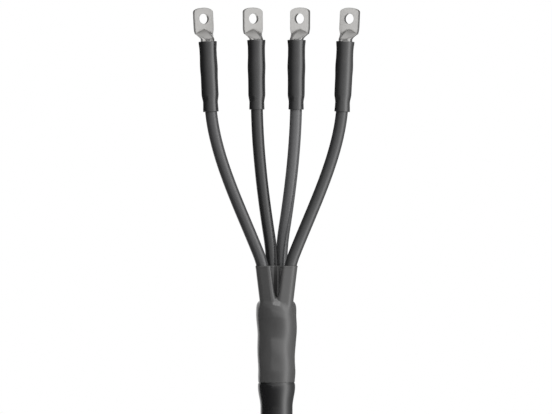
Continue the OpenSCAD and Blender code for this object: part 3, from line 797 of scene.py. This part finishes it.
def level_faces(inside, index):
    """Quads round every crossed grid line, with the side that is outside as their front."""
    faces = []
    for axis in range(3):
        first, second = (axis + 1) % 3, (axis + 2) % 3
        start = np.take(inside, range(inside.shape[axis] - 1), axis)
        stop = np.take(inside, range(1, inside.shape[axis]), axis)
        lines = np.argwhere(start != stop)
        leaving = start[tuple(lines.T)]
        around = []
        for back in ((0, 0), (1, 0), (1, 1), (0, 1)):
            cube = lines.copy()
            cube[:, first] -= back[0]
            cube[:, second] -= back[1]
            around.append(index[tuple(cube.T)])
        quads = np.column_stack(around)
        quads[~leaving] = quads[~leaving][:, ::-1]
        faces.append(quads)
    return np.concatenate(faces)


class CABLE_OT_boot(bpy.types.Operator):
    """Make the four-finger boot: a filleted skin with its cavity and finger bores cut out"""

    bl_idname = "cable.boot"
    bl_label = "Breakout Boot"
    # Room round the boot on the grid, and for its tools to stand out of it
    MARGIN = 3 * MM
    # Points round the hollow's tool, and along each of its two curves
    CAVITY_SIDES, LATHE_STEPS = 160, 60
    # The body's waves: crests, rise, phase and share
    WAVES = ((2, 8 * MM, 0, 1), (3, 6 * MM, 1, 0.8))
    # Depth below the mouth at which a finger's lip starts, and its length, in roundings of the rim
    LIP_DEPTH, LIP_LEN = 3.2, 2

    def body_r(self, z, lift=0.0):
        """Radius of the body: the skirt's bore and wall, feathered at its edge, and the shoulder's swell."""
        boot = self.boot
        feather = (boot.skirt_wall - boot.edge_wall) * (1 - ease((z - BOOT_LOW) / boot.edge_len))
        ramp = (z - lift - BOOT_LOW - boot.swell_h) / (boot.shoulder_h - boot.swell_h)
        return boot.skirt_in_r + boot.skirt_wall - feather + boot.swell * ease(ramp)

    def finger(self, leg, x, y, z):
        """Distance from a round-ended rod along a finger's axis, a little thicker at its mouth.

        The section of a front finger is the hull of its circle and of a smaller one in its inner front
        corner, which is level with the finger's inner side and gives the front face its slant.
        """
        boot = self.boot
        way = np.append(leg.heading * sin(leg.lean), cos(leg.lean))
        dx, dy, dz = x - leg.root[0], y - leg.root[1], z - leg.root_z
        along = np.maximum(dx * way[0] + dy * way[1] + dz * way[2], 0)
        dx, dy, dz = dx - along * way[0], dy - along * way[1], dz - along * way[2]
        away = np.sqrt(dx**2 + dy**2 + dz**2)
        if leg.outer:
            shrink = self.finger_r - boot.corner_r
            slant = boot.slant_left if leg.side < 0 else boot.slant_right
            corner = shrink * np.array((-leg.side, -(1 + sin(slant)) / cos(slant)))
            far = np.linalg.norm(corner)
            toward = (dx * corner[0] + dy * corner[1]) / far
            aside = np.sqrt(np.maximum(away**2 - toward**2, 0))
            fall, flat = shrink / far, np.sqrt(1 - (shrink / far) ** 2)
            place = flat * toward - fall * aside
            tip = np.sqrt(aside**2 + (toward - far) ** 2) + shrink
            away = np.where(place < 0, away, np.where(place > flat * far, tip, flat * aside + fall * toward))
        below = (z - BOOT_HIGH) / (self.LIP_LEN * boot.rim_round)
        return away - self.finger_r - boot.lip * ease(below + self.LIP_DEPTH / self.LIP_LEN)

    def field(self, x, y, z):
        """Roughly the distance from the skin: body and fingers joined with fillets, trimmed at both ends.

        The body is a surface of revolution whose shoulder is closed as a superellipse, bulges to the
        front, and stands higher on the left than on the right. Two slow waves make it uneven. The web in
        the front crotch is a long fillet.
        """
        boot = self.boot
        wave = boot.wave * unevenness(np.arctan2(y, x), z, self.WAVES)
        widest = boot.skirt_in_r + boot.skirt_wall + boot.swell
        ramp = ease((z - BOOT_LOW - boot.swell_h) / (boot.shoulder_h - boot.swell_h))
        depth = np.where(y < 0, y / (1 + boot.bulge / widest * ramp), y)
        radius = np.sqrt(x * x + depth * depth) - wave * ease((z - BOOT_LOW) / boot.edge_len)
        lift = -boot.shoulder_skew * np.clip(x / widest, -1, 1)
        shoulder = BOOT_LOW + boot.shoulder_h + lift
        up = np.maximum(z - shoulder, 0) / (BOOT_LOW + boot.crown_h - shoulder)
        power = boot.shoulder_power
        body = ((radius / self.body_r(z, lift)) ** power + up**power) ** (1 / power) * widest - widest
        first, second, third, fourth = (self.finger(leg, x, y, z) for leg in self.legs)
        front = smooth_min(first, fourth, boot.front_fillet)
        rear = smooth_min(second, third, boot.finger_fillet)
        skin = smooth_min(body, smooth_min(front, rear, boot.finger_fillet), boot.body_fillet)
        skin = -smooth_min(-skin, BOOT_HIGH - z, boot.rim_round)
        return -smooth_min(-skin, z - BOOT_LOW, boot.edge_round)

    def cavity(self):
        """Lathe tool for the hollow: the skirt's bore, a ledge above the sleeve, the body and a crown.

        The crown is a superellipse of power four: the roots of a sine and a cosine.
        """
        boot = self.boot
        ledge = SLEEVE_HIGH + settings().legs.end_gap
        foot = BOOT_LOW + boot.shoulder_h - boot.body_wall
        crown = BOOT_LOW + boot.crotch_h - boot.crotch_web
        z = np.linspace(ledge, foot, self.LATHE_STEPS)
        turn = np.linspace(0, pi / 2, self.LATHE_STEPS)[1:-1]
        wall = self.body_r(z) - boot.body_wall
        heights = (BOOT_LOW - self.MARGIN, ledge), z, foot + (crown - foot) * np.sqrt(np.sin(turn))
        radii = (boot.skirt_in_r, boot.skirt_in_r), wall, wall[-1] * np.sqrt(np.cos(turn))
        heights, radii = np.concatenate(heights), np.concatenate(radii)
        rings = upright_rings(np.zeros(3), UP, heights, radii, self.CAVITY_SIDES)
        return new_object("cavity_tool", *closed_shell(rings, False))

    def bore(self, leg):
        """Rod tool for a finger's bore, along the core's own route."""
        legs = settings().legs
        along = np.arange(leg.root_s - 2 * self.MARGIN, leg.mouth_s + 2 * self.MARGIN, TUBE_STEP)
        rings = leg.rings(along, np.full(len(along), legs.tube_r + legs.fit / 2), TUBE_SIDES)
        return new_object("bore_tool", *closed_shell(rings, False))

    def execute(self, context):
        self.boot = settings().boot
        self.legs = [Leg(i) for i in LEGS]
        legs = settings().legs
        self.finger_r = legs.tube_r + legs.fit + self.boot.finger_wall
        corners = [np.array(corner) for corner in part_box("breakout_boot")]
        points, faces = level_surface(
            self.field, corners[0] - self.MARGIN, corners[1] + self.MARGIN, self.boot.grain
        )
        boot = new_object("boot", points, faces)
        cut(boot, self.cavity())
        for leg in self.legs:
            cut(boot, self.bore(leg))
        finish = polymer_finish("boot polyolefin", settings().colours.boot, rough=0.14, specular=0.38)
        finish_piece(boot, finish, "boot_grey", "breakout_boot")
        return {"FINISHED"}


class CABLE_OT_sleeves(bpy.types.Operator):
    """Make the sheath sleeve and the four lug sleeves"""

    bl_idname = "cable.sleeves"
    bl_label = "Shrink Sleeves"
    # Points round a sleeve, and the distance between its rings
    SIDES, STEP = 96, 0.75 * MM
    # Power that spreads the unevenness along a lug sleeve and fades it at the ends
    SPREAD = 0.3

    def uneven(self, along, radii, outer, number):
        """Adds two slow waves round a lug sleeve, which its number shifts, to the radius of its outside."""
        turn = np.linspace(0, 2 * pi, self.SIDES, endpoint=False)
        waves = ((2, 9 * MM, number, 1), (3, -6 * MM, 2 * number, 0.7))
        ripple = settings().sleeves.ripple * unevenness(turn[None], along[:, None], waves)
        return radii[:, None] + ripple * outer[:, None]

    def sheath_sleeve(self):
        """Lathe outline: a plain end, a climb onto the bead of mastic, and a fall to the boot's edge."""
        sleeves = settings().sleeves
        along = np.arange(sleeves.rim, SLEEVE_HIGH - SLEEVE_LOW - sleeves.rim, self.STEP)
        height = along - sleeves.plain_len
        fall_h = BOOT_LOW - SLEEVE_LOW - sleeves.plain_len - settings().legs.end_gap - sleeves.bead_fall
        climb = (sleeves.step + sleeves.bead) * ease(height / sleeves.climb_len)
        inner = sleeves.sheath_in_r + climb - sleeves.bead * ease((height - fall_h) / sleeves.bead_fall)
        distances, radii = wall_outline(along, inner, inner + sleeves.sheath_wall, sleeves.rim)
        rings = upright_rings(SLEEVE_LOW * UP, UP, distances, radii, self.SIDES)
        return new_object("shrunk_sheath_sleeve", *closed_shell(rings))

    def lug_sleeve(self, leg, number):
        """Lathe outline: a flared foot on the tube, a climb onto the barrel, a swell and a flared top."""
        sleeves, legs, lugs = settings().sleeves, settings().legs, settings().lugs
        cover = sleeves.outer_cover if leg.outer else sleeves.inner_cover
        total = leg.lap + cover
        along = np.arange(sleeves.rim, total - sleeves.rim, self.STEP)
        climb = ease((along - leg.lap + legs.end_gap) / sleeves.lug_climb + 1)
        room = sleeves.foot_flare + tan(leg.enter - leg.tilt) * legs.enter_len / 2
        foot = room * (1 - ease(along / sleeves.flare_len))
        top = sleeves.top_flare * ease((along - total) / sleeves.flare_len + 1)
        middle = leg.lap + lugs.crimp_start + (lugs.crimp_w + lugs.crimp_pitch) / 2
        swell = sleeves.crimp_swell * bump((along - middle) / lugs.crimp_w)
        inner = legs.tube_r + legs.fit + (lugs.barrel_r - legs.tube_r) * climb + foot + top + swell
        wall = sleeves.lug_wall - sleeves.foot_thin * (1 - climb)
        distances, radii = wall_outline(along, inner, inner + wall, sleeves.rim)
        outer = np.zeros(len(radii))
        outer[: len(along)] = bump(np.linspace(-1, 1, len(along))) ** self.SPREAD
        radii = self.uneven(distances, radii, outer, number)
        rings = upright_rings(leg.foot, leg.axis, distances, radii, self.SIDES)
        return new_object(f"shrunk_lug_sleeve_{number}", *closed_shell(rings))

    def execute(self, context):
        colours = settings().colours
        black = polymer_finish("sheath sleeve polyolefin", colours.sleeve, rough=0.2, specular=0.6, drawn=0.4)
        finish_piece(self.sheath_sleeve(), black, "sleeve_black", "sheath_sleeve")
        dark = polymer_finish(
            "lug sleeve polyolefin", colours.lug_sleeve, rough=0.25, specular=0.7, drawn=0.3
        )
        for i in LEGS:
            finish_piece(self.lug_sleeve(Leg(i), i), dark, "lug_sleeve_black", f"lug_sleeve_{i}")
        return {"FINISHED"}


class CABLE_OT_lugs(bpy.types.Operator):
    """Make the four bolt lugs, each a tube pressed flat and drilled"""

    bl_idname = "cable.lugs"
    bl_label = "Bolt Lugs"
    # Points on a face and on a rounded corner of a flat section, and round the hole
    FACE_POINTS, CORNER_POINTS, HOLE_SIDES = 41, 7, 96
    # Number of crimps
    CRIMPS = 2
    # Half of the arc that becomes an edge of the palm
    SIDE_TURN = radians(16)
    # Rings in the neck, in the palm and round its top edge
    NECK_RINGS, PALM_RINGS, EDGE_RINGS = 15, 30, 6
    # Powers that form the neck's way from round to flat, and the crest's arch
    NECK_POWER, ARCH_POWER = 1.25, 1.3
    # Share of an inset by which the sides go in, and of half the thickness that an edge's rounding can take
    SIDE_SHARE, EDGE_SHARE = 0.6, 0.98

    def loop(self, half, front, back, edge):
        """A rounded rectangle in the lug's x and y, as a loop from the left end of its front face."""
        turn = np.linspace(0, pi / 2, self.CORNER_POINTS)
        rise, fall = edge * np.sin(turn), edge * np.cos(turn)
        side, low, high = half - edge, front + edge, back - edge
        face = np.linspace(-1, 1, self.FACE_POINTS)[1:-1] * side
        fore, rear = np.full_like(face, front), np.full_like(face, back)
        x = face, side + rise, side + fall, -face, -side - rise, -side - fall
        y = fore, low - fall, high + rise, rear, high + fall, low - rise
        return np.concatenate(x), np.concatenate(y)

    def turns(self):
        """Angles of the loop's points on a round section: faces take wide arcs and edges narrow ones."""
        wide = np.linspace(-1, 1, self.FACE_POINTS)[1:-1] * (pi / 2 - self.SIDE_TURN)
        narrow = np.linspace(-1, 1, 2 * self.CORNER_POINTS) * self.SIDE_TURN
        return np.concatenate((wide, narrow + pi / 2, wide + pi, narrow + 3 * pi / 2))

    def ring(self, radius, height):
        """A round section of the barrel."""
        turn = self.turns()
        return np.column_stack((radius * np.sin(turn), -radius * np.cos(turn), np.full_like(turn, height)))

    def barrel(self):
        """Rings down the bore's inside, over the mouth, and up the outside with its hexagonal crimps."""
        lugs, legs = settings().lugs, settings().legs
        bore, edge = legs.conductor_r + legs.fit, lugs.edge
        rings = [self.ring(bore, lugs.bore_depth), self.ring(bore, edge), self.ring(bore + edge, 0)]
        rings += [self.ring(lugs.barrel_r - edge, 0), self.ring(lugs.barrel_r, edge)]
        sector = (self.turns() + pi / 6) % (pi / 3) - pi / 6
        pressed = np.minimum(lugs.barrel_r, lugs.crimp_flats / 2 / np.cos(sector))
        for k in range(self.CRIMPS):
            low = lugs.crimp_start + k * lugs.crimp_pitch
            high = low + lugs.crimp_w
            rings += [self.ring(lugs.barrel_r, low - edge), self.ring(pressed, low)]
            rings += [self.ring(pressed, high), self.ring(lugs.barrel_r, high + edge)]
        return rings + [self.ring(lugs.barrel_r, lugs.barrel_len)]

    def palm_half(self, height):
        """Half width of the flat part: the neck's sides are arcs that end upright at the full palm."""
        lugs = settings().lugs
        inset = lugs.palm_w / 2 - lugs.barrel_r
        side_r = (inset**2 + lugs.neck_len**2) / (2 * inset)
        below = np.maximum(lugs.barrel_len + lugs.neck_len - height, 0)
        return lugs.palm_w / 2 - side_r + np.sqrt(side_r**2 - below**2)

    def palm_place(self):
        """Depths of the palm's front and back behind the barrel's axis, and the height of its top."""
        lugs = settings().lugs
        back = lugs.barrel_r + lugs.palm_set
        return back - lugs.palm_t, back, lugs.barrel_len + lugs.neck_len + lugs.palm_len

    def section(self, share, inset=0.0, rise=0.0, press=0.0):
        """A flat section at a share of the way from the crest to the palm's top edge.

        Its points rise from the crest, an arch in front and a straight line behind, to the top edge, a
        superellipse's upper half. A section may be thinned by an inset, lifted by a rise and have its
        front pressed in.
        """
        lugs = settings().lugs
        front, back, total = self.palm_place()
        crest = lugs.barrel_len + lugs.crest_h - lugs.crest_sag
        half = self.palm_half(crest + share * (total - lugs.corner - crest))
        edge = min(lugs.edge, (lugs.palm_t / 2 - inset) * self.EDGE_SHARE)
        x, y = self.loop(half - inset * self.SIDE_SHARE, front + inset, back - inset, edge)
        fore = np.clip((back - y) / lugs.palm_t, 0, 1)
        arch = crest + lugs.crest_sag * (1 - np.abs(x / half) ** self.ARCH_POWER) * fore**2
        across = np.minimum(np.abs(2 * x / lugs.palm_w), 1) ** lugs.corner_power
        top = total - lugs.edge - lugs.corner * (1 - (1 - across) ** (1 / lugs.corner_power))
        return np.column_stack((x, y + press * fore**2, arch + (top - arch) * share + rise))

    def form(self):
        """All rings of a lug, from the bottom of its bore to its top edge, where front and back meet."""
        lugs = settings().lugs
        rings = self.barrel()
        round_end, crest = rings[-1], self.section(0, press=lugs.crease)
        for t in np.linspace(0, 1, self.NECK_RINGS)[1:]:
            flat = t**self.NECK_POWER
            rings.append(round_end + (crest - round_end) * np.array((flat, flat, t)))
        rings += [self.section(share) for share in np.linspace(lugs.crease_share, 1, self.PALM_RINGS)]
        turn = np.linspace(0, pi / 2, self.EDGE_RINGS)[1:]
        rings += [self.section(1, lugs.edge * (1 - cos(t)), lugs.edge * sin(t)) for t in turn]
        rings += [self.section(1, lugs.palm_t / 2, lugs.edge)]
        return np.stack(rings)

    def placed(self, leg, number, points):
        """Moves points from the lug's own axes to its place, where the hole faces along its mount's axis."""
        front = normalised(np.array(MOUNTS[f"lug_{number}_hole"]["axis"]))
        right = normalised(np.cross(leg.axis, front))
        axes = np.stack((right, np.cross(leg.axis, right), leg.axis))
        return leg.foot + leg.lap * leg.axis + points @ axes

    def hole_tool(self, leg, number):
        """Lathe tool for the bolt hole: a rod that widens at 45 degrees through both faces, as chamfers."""
        lugs = settings().lugs
        front, back, total = self.palm_place()
        slope = np.array((-1, 1)) * lugs.chamfer
        depth = np.concatenate(((front - lugs.palm_t,), front + slope, back + slope, (back + lugs.palm_t,)))
        turn = np.linspace(0, 2 * pi, self.HOLE_SIDES, endpoint=False)
        # The rod is wide outside both faces and narrow between them
        wide = np.array((1, 1, 0, 0, 1, 1))[:, None]
        radius = lugs.hole_r + 2 * lugs.chamfer * wide
        x = radius * np.cos(turn)
        z = total - lugs.hole_drop + radius * np.sin(turn)
        y = np.broadcast_to(depth[:, None], x.shape)
        rod = self.placed(leg, number, np.stack((x, y, z), -1))
        return new_object("hole_tool", *closed_shell(rod, False))

    def execute(self, context):
        metal = aluminium_finish("lug aluminium", settings().colours.lug, rough=0.36, stretch=0.08)
        form = self.form()
        for i in LEGS:
            leg = Leg(i)
            lug = new_object(f"pressed_lug_{i}", *closed_shell(self.placed(leg, i, form), False, False))
            cut(lug, self.hole_tool(leg, i))
            finish_piece(lug, metal, "lug_metal", f"lug_{i}")
        return {"FINISHED"}


class CABLE_OT_cable(bpy.types.Operator):
    """Finish the solids of the cable end that keep their own meshes"""

    bl_idname = "cable.cable_end"
    bl_label = "Cable End"

    def execute(self, context):
        colours = settings().colours
        finishes = {
            "outer_sheath": polymer_finish(
                "cable sheath", colours.sheath, rough=0.42, specular=0.45, drawn=0.6
            ),
            "core_bedding": filler_finish("cable bedding", colours.bedding, rough=0.7),
            "mastic_band": filler_finish("sealing mastic", colours.mastic, rough=0.55),
        }
        for node, material in finishes.items():
            solid = frame["nodes"][node]
            solid.data.materials.clear()
            solid.data.materials.append(material)
        return {"FINISHED"}


class CABLE_OT_stage(bpy.types.Operator):
    """Make the floor, the card and its lid, the lights, the world and the camera"""

    bl_idname = "cable.stage"
    bl_label = "Stage"
    # Points along the card's arc, rings of a disc and points on each ring
    CARD_STEPS, DISC_RINGS, DISC_SIDES = 48, 9, 96
    # Angles over which the pale wall on the card starts and ends
    WALL_START, WALL_END = radians(12), radians(40)
    # Where its start is soft: how much further left and wider the start is, and the share of light lost
    SOFT_SHIFT, SOFT_WIDTH, SOFT_LOSS = radians(50), radians(74), 0.35
    # Height over which the wall begins, and over which its start gets soft
    WALL_FADE = 70 * MM
    # What the lamps face, and each lamp's place, size and whether reflections show it
    MIDDLE = (0, 0, 0.24)
    LAMPS = {
        "key": ((1.0, -0.9, 0.9), (0.7, 0.7), False),
        "top": ((0.08, -0.42, 0.75), (0.5, 0.4), True),
        "back": ((-0.5, 1.3, 0.9), (0.9, 0.9), False),
    }
    # Degrees to the right of the camera at which the lugs' panels stand, and their shares of the power
    PANELS = {-116: 0.15, -64: 1.0, 0: 0.5, 64: 1.0, 116: 0.15, 180: 0.4}

    def disc(self, name, radius, height):
        """A flat disc: rings of growing radius round the cable's axis."""
        radii = np.linspace(0, radius, self.DISC_RINGS)
        grid = upright_rings(height * UP, UP, np.zeros_like(radii), radii, self.DISC_SIDES)
        disc = new_object(name, grid.reshape(-1, 3), grid_faces(*grid.shape[:2], False, True))
        return disc

    def floor(self, stage):
        """A pale floor under the cable's cut end."""
        floor = self.disc("floor", stage.floor_r, 0)
        material, finish = new_finish("pale floor")
        cloud = finish.noise(finish.place(), scale=6, detail=2)
        base = finish.mix(cloud, *shades(stage.floor, spread=0.02))
        finish.surface(base, 0.7 + 0.05 * (cloud - 0.5), cloud, bump_depth=0.01 * MM)
        floor.data.materials.append(material)
        floor.visible_glossy = False

    def glowing(self, piece, material, finish, tone, strength):
        """Makes a card glow in reflections, and hides it from everything else."""
        sockets = {"Base Color": (0, 0, 0, 1), "Roughness": 1.0, "Specular IOR Level": 0.0}
        sockets.update({"Emission Color": tone, "Emission Strength": strength})
        shader = finish.node("ShaderNodeBsdfPrincipled", {}, sockets)
        finish.node("ShaderNodeOutputMaterial", {}, {"Surface": shader})
        piece.data.materials.append(material)
        for kind in ("camera", "diffuse", "transmission", "volume_scatter", "shadow"):
            setattr(piece, "visible_" + kind, False)

    def lid(self, stage):
        """A grey lid on the card, which the necks of the lugs reflect."""
        material, finish = new_finish("grey lid")
        lid = self.disc("lid", stage.card_r, stage.card_high)
        self.glowing(lid, material, finish, (1, 1, 1, 1), stage.lid_glow)

    def card(self, stage):
        """A card that only reflections show: an arc about the cable's axis, carried up, with a stepped edge.

        It is dark but for a pale wall in front and a softbox, whose light falls off to both sides as
        1 / (1 + d squared), where d is the angle from its middle over the angle at which the light halves.
        """
        heights = np.array((stage.card_low, stage.card_step, stage.card_step + stage.step_h, stage.card_high))
        starts = np.array((stage.card_from, stage.card_from, stage.step_from, stage.step_from))
        turn = np.linspace(starts, stage.card_to, self.CARD_STEPS, axis=1)
        height = np.broadcast_to(heights[:, None], turn.shape)
        grid = np.stack((stage.card_r * np.sin(turn), -stage.card_r * np.cos(turn), height), -1)
        card = new_object("card", grid.reshape(-1, 3), grid_faces(*turn.shape, False, False))
        material, finish = new_finish("softbox card")
        spot = finish.node("ShaderNodeTexCoord", {}, {}, "Object")
        x, y, z = (finish.node("ShaderNodeSeparateXYZ", {}, {0: spot}, axis) for axis in "XYZ")
        turn = x.math("ARCTAN2", x, 0 - y)
        away = (turn - stage.glow_turn) * (1 / stage.glow_width)
        soft = finish.ramp(z, stage.front_soft, stage.front_soft + self.WALL_FADE)
        start = stage.front_from - self.SOFT_SHIFT * soft
        wall = finish.ramp(turn, start, start + self.WALL_START + self.SOFT_WIDTH * soft)
        wall = wall * finish.ramp(turn, stage.front_to, stage.front_to - self.WALL_END)
        wall = wall * finish.ramp(z, stage.front_low, stage.front_low + self.WALL_FADE)
        wall = wall * (1 - self.SOFT_LOSS * soft)
        light = 1 / (1 + away * away) + wall * (stage.front_glow / stage.glow)
        self.glowing(card, material, finish, finish.mix(light, (0, 0, 0), (1, 1, 1)), stage.glow)
        self.link_lugs(card, "EXCLUDE")

    def link_lugs(self, light, state):
        """Keeps a light off the bare lugs, or on them alone."""
        group = bpy.data.collections.new(light.name + "_lugs")
        for i in LEGS:
            group.objects.link(bpy.data.objects[f"pressed_lug_{i}"])
        light.light_linking.receiver_collection = group
        for item in group.collection_objects:
            item.light_linking.link_state = state

    def lamp(self, name, place, target, size, power, mirrored, for_lugs=False):
        """A rectangular lamp that faces a point, for the bare lugs alone or for all else."""
        light = bpy.data.lights.new(name, "AREA")
        light.shape = "RECTANGLE"
        light.size, light.size_y = size
        light.energy = power
        lamp = in_scene(name, light)
        lamp.location = place
        lamp.rotation_euler = (Vector(target) - Vector(place)).to_track_quat("-Z", "Y").to_euler()
        lamp.visible_camera = False
        lamp.visible_glossy = mirrored
        self.link_lugs(lamp, "INCLUDE" if for_lugs else "EXCLUDE")

    def panels(self, stage):
        """Upright panels round the lugs, brightest where the palms reflect them to the camera."""
        target, size = (0, 0, stage.panel_z), (stage.panel_w, stage.panel_h)
        for degrees, share in self.PANELS.items():
            turn = radians(degrees)
            place = (stage.panel_r * sin(turn), -stage.panel_r * cos(turn), stage.panel_z)
            power = share * stage.panel_power
            self.lamp(f"panel_{degrees}", place, target, size, power, mirrored=True, for_lugs=True)

    def world(self, stage):
        """White to the camera and in reflections, and a soft light on everything else."""
        world = bpy.data.worlds.new("studio")
        finish = Finish(world)
        rays = ("Is Camera Ray", "Is Glossy Ray", "Is Transmission Ray")
        camera, glossy, through = (finish.node("ShaderNodeLightPath", {}, {}, ray) for ray in rays)
        seen = camera + glossy + through
        soft = finish.node("ShaderNodeBackground", {}, {"Color": (1, 1, 1, 1), "Strength": stage.ambient})
        white = finish.node("ShaderNodeBackground", {}, {"Color": (1, 1, 1, 1), "Strength": 1.0})
        light = finish.node("ShaderNodeMixShader", {}, {0: seen.clamped(), 1: soft, 2: white})
        finish.node("ShaderNodeOutputWorld", {}, {"Surface": light})
        bpy.context.scene.world = world

    def camera(self, stage):
        """A long lens, level, with the picture's own frame at the object."""
        lens = bpy.data.cameras.new("camera")
        lens.sensor_width = stage.sensor
        lens.lens = stage.sensor * stage.distance / stage.frame_w
        camera = in_scene("camera", lens)
        camera.location = (stage.centre_x, -stage.distance, stage.centre_z)
        camera.rotation_euler = (pi / 2, 0, 0)
        bpy.context.scene.camera = camera

    def execute(self, context):
        stage = settings().stage
        self.floor(stage)
        self.card(stage)
        self.lid(stage)
        for name, (place, size, mirrored) in self.LAMPS.items():
            self.lamp(name, place, self.MIDDLE, size, getattr(stage, name + "_power"), mirrored)
        self.panels(stage)
        self.world(stage)
        self.camera(stage)
        context.scene.view_settings.view_transform = "Standard"
        return {"FINISHED"}


OPERATORS = (
    CABLE_OT_cores,
    CABLE_OT_boot,
    CABLE_OT_sleeves,
    CABLE_OT_lugs,
    CABLE_OT_cable,
    CABLE_OT_stage,
)


class CABLE_PT_panel(bpy.types.Panel):
    """Lists the termination's pieces and settings"""

    bl_idname = "CABLE_PT_panel"
    bl_label = "Cable Termination"
    bl_space_type = "VIEW_3D"
    bl_region_type = "UI"
    bl_category = "Termination"

    def draw(self, context):
        for operator in OPERATORS:
            self.layout.operator(operator.bl_idname)
        for key, group in GROUPS.items():
            box = self.layout.box()
            box.label(text=group.__doc__)
            values = getattr(context.scene.cable_termination, key)
            for name in group.__annotations__:
                box.prop(values, name)


CLASSES = (*GROUPS.values(), TerminationSettings, *OPERATORS, CABLE_PT_panel)


def register():
    """Registers the classes and hangs the settings on the scene."""
    for item in CLASSES:
        bpy.utils.register_class(item)
    bpy.types.Scene.cable_termination = PointerProperty(type=TerminationSettings)


def unregister():
    """Takes the settings off the scene and unregisters the classes."""
    del bpy.types.Scene.cable_termination
    for item in reversed(CLASSES):
        bpy.utils.unregister_class(item)


def main():
    """Registers the add-on and runs its operators in order."""
    register()
    for operator in OPERATORS:
        family, name = operator.bl_idname.split(".")
        getattr(getattr(bpy.ops, family), name)()


if __name__ == "__main__":
    main()
